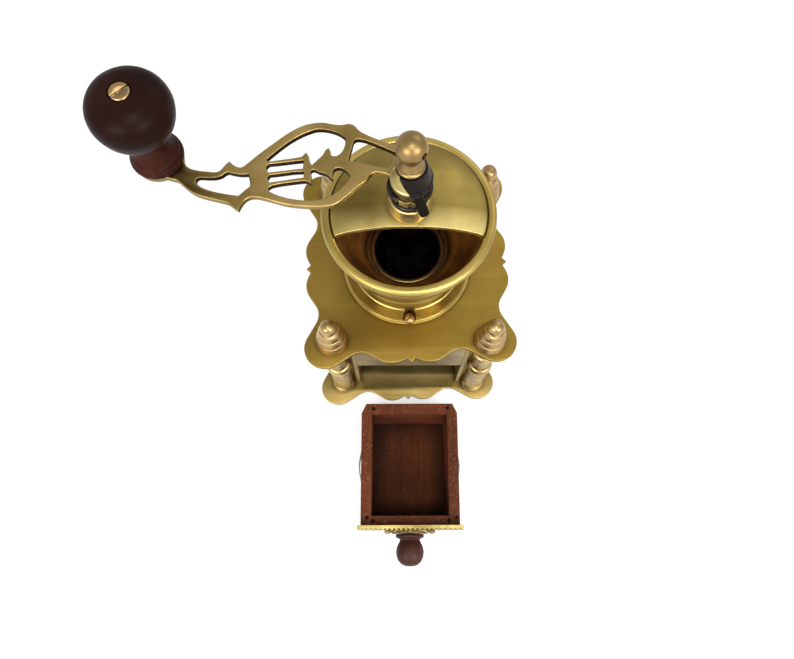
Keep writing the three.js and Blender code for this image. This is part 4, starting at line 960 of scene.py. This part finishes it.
arm_outside = arm_run(
    arm_upper, arm_upper_end, arc(REACH, 0, 10.6, 172, -112, 30), arm_lower, arm_lower_end,
    arc(0, 0, 8.5, -14, -286, 40))
arm = sheet_form(
    "crank_arm_casting", [[arm_point(u, v) for u, v in run] for run in (arm_outside, *arm_windows)],
    ARM_LOW, ARM_TOP, 0.6)
window_points = [point for window in arm_windows for point in window]


def in_window(at, normal):
    """True for the walls of the windows, which lie nearer to a window's outline than to the arm's."""
    if abs(normal.z) > 0.6:
        return False
    place = arm_point(at.x, at.y)
    return (min(math.dist(place, point) for point in window_points)
            < min(math.dist(place, point) for point in arm_outside))


painted(arm, ARM_BRASS)
# The walls of the windows get near-black painted shade.
second_finish(arm, PAINTED_SHADE_BRASS, in_window)
hub_neck = turn("hub_neck", strokes(
    [(4.3, 0), (7.1, 0)], [(7.4, 0.4), (7.4, 3.5)], [(4.3, 3.5)],
    [(4.3, 0)]), (0, 0), foot_of("crank_arm"), 64)
hub_drum = turn("hub_drum", strokes(
    [(4.3, -0.2), (8.3, -0.2)], [(8.7, 0.3), (8.6, 0.9), (8.2, 1.3)], [(7.4, 4.6), (6.4, 8.5)],
    [(6.1, 8.8)], [(4.3, 8.8)], [(4.3, -0.2)]), (0, 0), ARM_TOP, 64)
arm = join([arm, painted(hub_neck, ARM_BRASS), painted(hub_drum, HUB_BRASS)], "crank_arm_casting")
dress(arm, None, "crank", "turned_brass", "crank_arm")

# Catch: an iron saddle bent over one side of the hub, with a finger that hangs in front
CATCH_TOP = top_of("catch_finger")
CATCH_TURN, CATCH_TILT = math.radians(-35.7), math.radians(37.7)
CATCH_EDGE = 6.9
FINGER_TIP, FINGER_TOP, FINGER_HALF, FINGER_WALL = 183, 200.4, 2.3, 1.7
FINGER_OUT, FINGER_TURN, FINGER_SWING = 8.8, math.radians(-70), math.radians(11)
TIP_LEAN = 2
catch = turn("catch_saddle", strokes(
    [(8.8, 0), (9.5, 0)], [(9.75, 0.4), (9.75, 1.9), (9.4, 2.4)], [(9.15, 2.7)],
    [(8.5, 5.2), (7.6, 8.4), (7.4, 9.4)], [(7.0, 10)], [(2.9, 10)], [(2.9, 8.8)], [(6.6, 8.8)],
    [(8.8, 0)]), (0, 0), ARM_TOP, 96)
way_x, way_y, level = math.cos(CATCH_TURN), math.sin(CATCH_TURN), math.cos(CATCH_TILT)
cut_away(catch, (CATCH_EDGE * way_x, CATCH_EDGE * way_y, ARM_TOP),
         (level * way_x, level * way_y, math.sin(CATCH_TILT)))
washer = turn("catch_washer", strokes(
    [(2.9, 8.8), (6.0, 8.8)], [(6.3, 9.1), (6.3, 9.7), (6.0, 10)], [(2.9, 10)], [(2.9, 8.8)]),
    (0, 0), ARM_TOP, 64)
carve(catch, washer, "UNION")

finger_side = [
    (FINGER_HALF, FINGER_TOP - k) for k in range(int(FINGER_TOP - FINGER_TIP - FINGER_HALF) + 1)]
finger_end = arc(0, FINGER_TIP + FINGER_HALF, FINGER_HALF, 0, -180, 16)
finger = sheet_form(
    "catch_bar", [[*finger_side, *finger_end, *[(-x, y) for x, y in reversed(finger_side)]]],
    0, FINGER_WALL, 0.45)
for vertex in finger.data.vertices:
    across, height, depth = vertex.co / MM
    lean = TIP_LEAN * max(0, (ARM_LOW - height) / (ARM_LOW - FINGER_TIP)) ** 1.2
    vertex.co = Vector(mm(FINGER_OUT + lean + depth, across, height))
hinge_line = Matrix.Translation(Vector(mm(0, 0, ARM_TOP)))
finger.data.transform(
    Matrix.Rotation(FINGER_TURN, 4, "Z") @ hinge_line
    @ Matrix.Rotation(FINGER_SWING, 4, "X") @ hinge_line.inverted())
tidy_mesh(finger)
carve(catch, finger, "UNION")
settle(catch, "catch_saddle")
dress(catch, CATCH_IRON, "crank", "black_iron", "catch_finger")

# Ball nut on top of the stack, with a hole for a pin to turn it by
BALL_RADIUS, BALL_MIDDLE = 6.7, 14.5
HOLE_TURN, HOLE_RADIUS, HOLE_HEIGHT = math.radians(-41), 1.6, CATCH_TOP + 15.2
HOLE_START, HOLE_LENGTH, HOLE_MOUTH = 2.2, 6, 6.3
ball_profile = [
    (BALL_RADIUS * math.cos(a), BALL_MIDDLE + BALL_RADIUS * math.sin(a))
    for a in (math.radians(k) for k in range(-52, 86, 6))]
ball = turn("ball_nut_turning", strokes(
    [(0, 0), (5.7, 0)], [(6.05, 0.4), (6.05, 1.1), (5.6, 1.6)], [(5.2, 1.8), (5.2, 2.0)],
    [(5.35, 2.6), (5.1, 3.6), (4.5, 4.8), (4.1, 6.2), (4.1, 7.4), (4.5, 8.9)],
    ball_profile[:1], ball_profile[1:] + [(0, 21.2)], steps=3), (0, 0), CATCH_TOP, 96)
tommy_hole = turn(
    "tommy_hole", [(0, 0), (HOLE_RADIUS, 0), (HOLE_RADIUS, HOLE_LENGTH), (0, HOLE_LENGTH)], steps=32)
tommy_hole.data.transform(
    Matrix.Translation(Vector(mm(0, 0, HOLE_HEIGHT))) @ Matrix.Rotation(HOLE_TURN, 4, "Z")
    @ Matrix.Translation(Vector(mm(HOLE_START, 0, 0))) @ Matrix.Rotation(math.radians(90), 4, "Y"))
carve(ball, tommy_hole)


def in_hole(at, normal):
    """True for the walls of the pin's hole."""
    way = Vector((math.cos(HOLE_TURN), math.sin(HOLE_TURN), 0))
    place = at - Vector((0, 0, HOLE_HEIGHT))
    depth = place.dot(way)
    return 0 < depth < HOLE_MOUTH and (place - way * depth).length < HOLE_RADIUS + 0.05


painted(ball, BALL_BRASS)
# The walls of the pin's hole get near-black painted shade.
second_finish(ball, PAINTED_SHADE_BRASS, in_hole)
dress(ball, None, "crank", "turned_brass", "ball_nut")

# Crank knob with its screw
KNOB_AT = centre_of("crank_knob")
KNOB_FOOT = foot_of("crank_knob")
knob = turn("crank_knob_turning", strokes(
    [(2.9, 0), (10.8, 0)],
    [(11.4, 0.8), (11.5, 1.9), (11.2, 3.1), (10.6, 3.6)],
    [(10.3, 4.0), (10.6, 4.7), (10.5, 5.5)],
    [(9.6, 6.8), (8.6, 8.9), (7.9, 11.5), (7.7, 13.8), (8.4, 16.8), (10.6, 20.4), (13.6, 24.0),
     (15.7, 28.0), (16.75, 32.2), (16.9, 35.0), (16.1, 38.8), (13.9, 42.2), (10.2, 44.7), (6.6, 45.7),
     (4.5, 45.95)],
    [(4.4, 44.4)], [(2.9, 44.4)], [(2.9, 0)], steps=5), KNOB_AT, KNOB_FOOT, 96)
dress(knob, KNOB_WOOD, "knob", "dark_wood", "crank_knob")
knob_pin = turn("knob_screw_turning", strokes(
    [(0, -4.8), (4.0, -4.8)], [(4.4, -4.4), (4.2, -3.3)], [(2.6, -3.3)], [(2.6, 44.7)], [(3.8, 44.7)],
    [(4.0, 45.0), (4.0, 45.8), (3.7, 46.2)], [(0, 46.3)]), KNOB_AT, KNOB_FOOT, 64)
saw_slot(knob_pin, KNOB_AT, 0.9, KNOB_FOOT + 45.4, KNOB_FOOT + 48, 40.3, reach=6)
dress(knob_pin, TURNED_BRONZE, "crank", "turned_brass", "knob_screw")

# Drawer: the box stays as it is, with its nails, the beaded brass front, the rosette and the grip
for node in ("drawer_side_left", "drawer_side_right"):
    finish_node(node, DRAWER_WOOD, 0.35)
for node in ("drawer_front_wall", "drawer_rear_wall"):
    finish_node(node, DRAWER_END_WOOD, 0.3)
finish_node("drawer_floor", FLOOR_WOOD, 0.2)
finish_node("drawer_front_plate", FRONT_BRASS, 0.3)
finish_node("drawer_knob_screw", DARK_STEEL, 0.2)
for node in ("drawer_spring_left", "drawer_spring_right"):
    finish_node(node, SPRING_STEEL)

RIM = top_of("drawer_side_left")
NAILS = [(-19.3, -69.5), (25.0, -69.0), (-23.0, -132.8), (-19.2, -134.7), (24.3, -134.6), (28.7, -133.0)]
nail_profile = strokes([(0, -0.3), (1.0, -0.3)], [(1.05, 0), (0.8, 0.12), (0, 0.18)])
nails = join([turn("nail", nail_profile, at, RIM, 16) for at in NAILS], "drawer_nail_heads")
dress(nails, NAIL_IRON, "drawer", "dark_steel")

plate_low, plate_high = corners_of("drawer_front_plate")
plate_width = plate_high.x - plate_low.x
BEAD = 1.2
bead_count = int(plate_width / (2.15 * BEAD))
bead_pitch = (plate_width - 2 * BEAD) / (bead_count - 1)
beading = turn(
    "front_plate_beading",
    strokes([(0, -1.25), (0.8, -0.95), (BEAD, 0), (0.8, 0.95), (0, 1.25)], steps=3),
    (plate_low.x + BEAD, plate_low.y + 0.1), plate_high.z - BEAD, 16)
modify(beading, "ARRAY", count=bead_count, use_relative_offset=False, use_constant_offset=True,
       constant_offset_displace=mm(bead_pitch, 0, 0))
dress(beading, FRONT_BRASS, "drawer", "turned_brass")


def forwards(piece, at):
    """Lays a piece that was made upright over towards the front, in millimetres."""
    piece.data.transform(Matrix.Translation(Vector(mm(*at))) @ Matrix.Rotation(math.radians(90), 4, "X"))
    return piece


LEAVES = 8


def leafy_edge(radius, wave, phase=0.0):
    steps = LEAVES * 10
    return [
        (r * math.cos(a), r * math.sin(a))
        for a in (2 * math.pi * k / steps for k in range(steps))
        for r in [radius - wave * (1 - math.cos(LEAVES * a + phase)) / 2]
    ]


scroll_low, scroll_high = corners_of("drawer_scroll")
SCROLL_RADIUS = (scroll_high.x - scroll_low.x) / 2
STUD_CIRCLE = 13.2
leaves = sheet_form("rosette_leaves", [leafy_edge(SCROLL_RADIUS, 2.6)], 0, 1.5, 0.55)
inner_leaves = sheet_form(
    "rosette_inner", [leafy_edge(SCROLL_RADIUS * 0.76, 2.2, math.pi)], 1.2, 2.3, 0.45)
stud_profile = strokes([(0, 1.0), (1.9, 1.0)], [(1.9, 1.7), (1.2, 2.4), (0, 2.6)])
studs = [
    turn("rosette_stud", stud_profile,
         (STUD_CIRCLE * math.cos(math.radians(a)), STUD_CIRCLE * math.sin(math.radians(a))), 0, 20)
    for a in range(0, 360, 45)]
rosette = forwards(join([leaves, inner_leaves, *studs], "drawer_rosette"), back_of("drawer_scroll"))
dress(rosette, ROSETTE_BRONZE, "drawer", "turned_brass", "drawer_scroll")

grip = forwards(turn("drawer_knob_turning", strokes(
    [(0, 0), (8.0, 0)], [(8.4, 0.6), (8.4, 1.6), (7.9, 2.3)], [(6.4, 2.8), (5.9, 3.6)],
    [(6.6, 5.0), (7.7, 7.4), (8.2, 10.2), (7.8, 13.2), (6.5, 15.8), (4.4, 17.6), (2.2, 18.3),
     (0, 18.4)]), steps=64), back_of("drawer_knob"))
dress(grip, GRIP_WOOD, "drawer", "red_wood", "drawer_knob")

# Studio: pale floor, soft lamps, and the photograph's camera
PAPER, PAPER_GLOW = 0.4, 0.66
FLOOR_HEIGHT = -0.00005
WORLD_LIGHT, WORLD_SEEN = 0.35, 1


def seen_directly(tree, strength):
    """The strength for what the camera sees directly, in a reflection or through glass, else 0."""
    path = tree.nodes.new("ShaderNodeLightPath")
    total = path.outputs["Is Camera Ray"]
    for name in ("Is Glossy Ray", "Is Transmission Ray"):
        total = arithmetic(tree, "MAXIMUM", total, path.outputs[name])
    return times(tree, total, strength)


def studio_floor():
    clear_selection()
    bpy.ops.mesh.primitive_plane_add(size=30, location=(0, 0, FLOOR_HEIGHT))
    floor = bpy.context.object
    floor.name = "studio_floor"
    material = bpy.data.materials.new("white studio floor")
    material.use_nodes = True
    tree = material.node_tree
    tree.nodes.clear()
    paper = tree.nodes.new("ShaderNodeBsdfDiffuse")
    paper.inputs["Color"].default_value = (PAPER, PAPER, PAPER, 1)
    glow = tree.nodes.new("ShaderNodeEmission")
    glow.inputs["Color"].default_value = (1, 1, 1, 1)
    add = tree.nodes.new("ShaderNodeAddShader")
    output = tree.nodes.new("ShaderNodeOutputMaterial")
    tree.links.new(seen_directly(tree, PAPER_GLOW), glow.inputs["Strength"])
    tree.links.new(paper.outputs["BSDF"], add.inputs[0])
    tree.links.new(glow.outputs["Emission"], add.inputs[1])
    tree.links.new(add.outputs["Shader"], output.inputs["Surface"])
    floor.data.materials.append(material)


def studio_world():
    world = bpy.data.worlds.new("studio")
    bpy.context.scene.world = world
    world.use_nodes = True
    tree = world.node_tree
    back = tree.nodes["Background"]
    back.inputs["Color"].default_value = (1, 1, 1, 1)
    brighter = seen_directly(tree, WORLD_SEEN - WORLD_LIGHT)
    tree.links.new(arithmetic(tree, "ADD", brighter, WORLD_LIGHT), back.inputs["Strength"])


def lamp(name, at, aim, size, power):
    """A soft rectangular lamp, in millimetres, that looks at a point."""
    clear_selection()
    bpy.ops.object.light_add(type="AREA", location=mm(*at))
    light = bpy.context.object
    light.name = name
    light.data.shape = "RECTANGLE"
    light.data.size, light.data.size_y = mm(*size)
    light.data.energy = power
    direction = Vector(mm(*aim)) - light.location
    light.rotation_euler = direction.to_track_quat("-Z", "Y").to_euler()


def photo_camera():
    pitch, yaw, roll = (math.radians(angle) for angle in (PITCH, YAW, ROLL))
    forward = Vector(
        (math.cos(pitch) * math.sin(yaw), math.cos(pitch) * math.cos(yaw), -math.sin(pitch)))
    level = Vector((math.cos(yaw), -math.sin(yaw), 0))
    steep = level.cross(forward)
    right = level * math.cos(roll) + steep * math.sin(roll)
    up = steep * math.cos(roll) - level * math.sin(roll)
    place = Matrix((right, up, -forward)).transposed().to_4x4()
    place.translation = Vector(mm(*CAMERA_AT))
    bpy.ops.object.camera_add()
    camera = bpy.context.object
    camera.name = "photo_camera"
    camera.matrix_world = place
    camera.data.sensor_fit = "HORIZONTAL"
    camera.data.sensor_width = SENSOR
    camera.data.lens = FOCAL_PIXELS / PHOTO_WIDTH * SENSOR
    camera.data.clip_start, camera.data.clip_end = 0.01, 50
    bpy.context.scene.camera = camera


studio_floor()
studio_world()
lamp("left front lamp", (-470, -680, 600), (0, 0, 100), (460, 360), 6)
lamp("right front lamp", (520, -640, 620), (0, 0, 100), (460, 360), 7)
lamp("overhead lamp", (60, -330, 1000), (0, 0, 80), (420, 260), 4)
lamp("back lamp", (500, 600, 800), (0, 0, 80), (600, 400), 1.5)
photo_camera()
bpy.context.scene.view_settings.view_transform = "Standard"
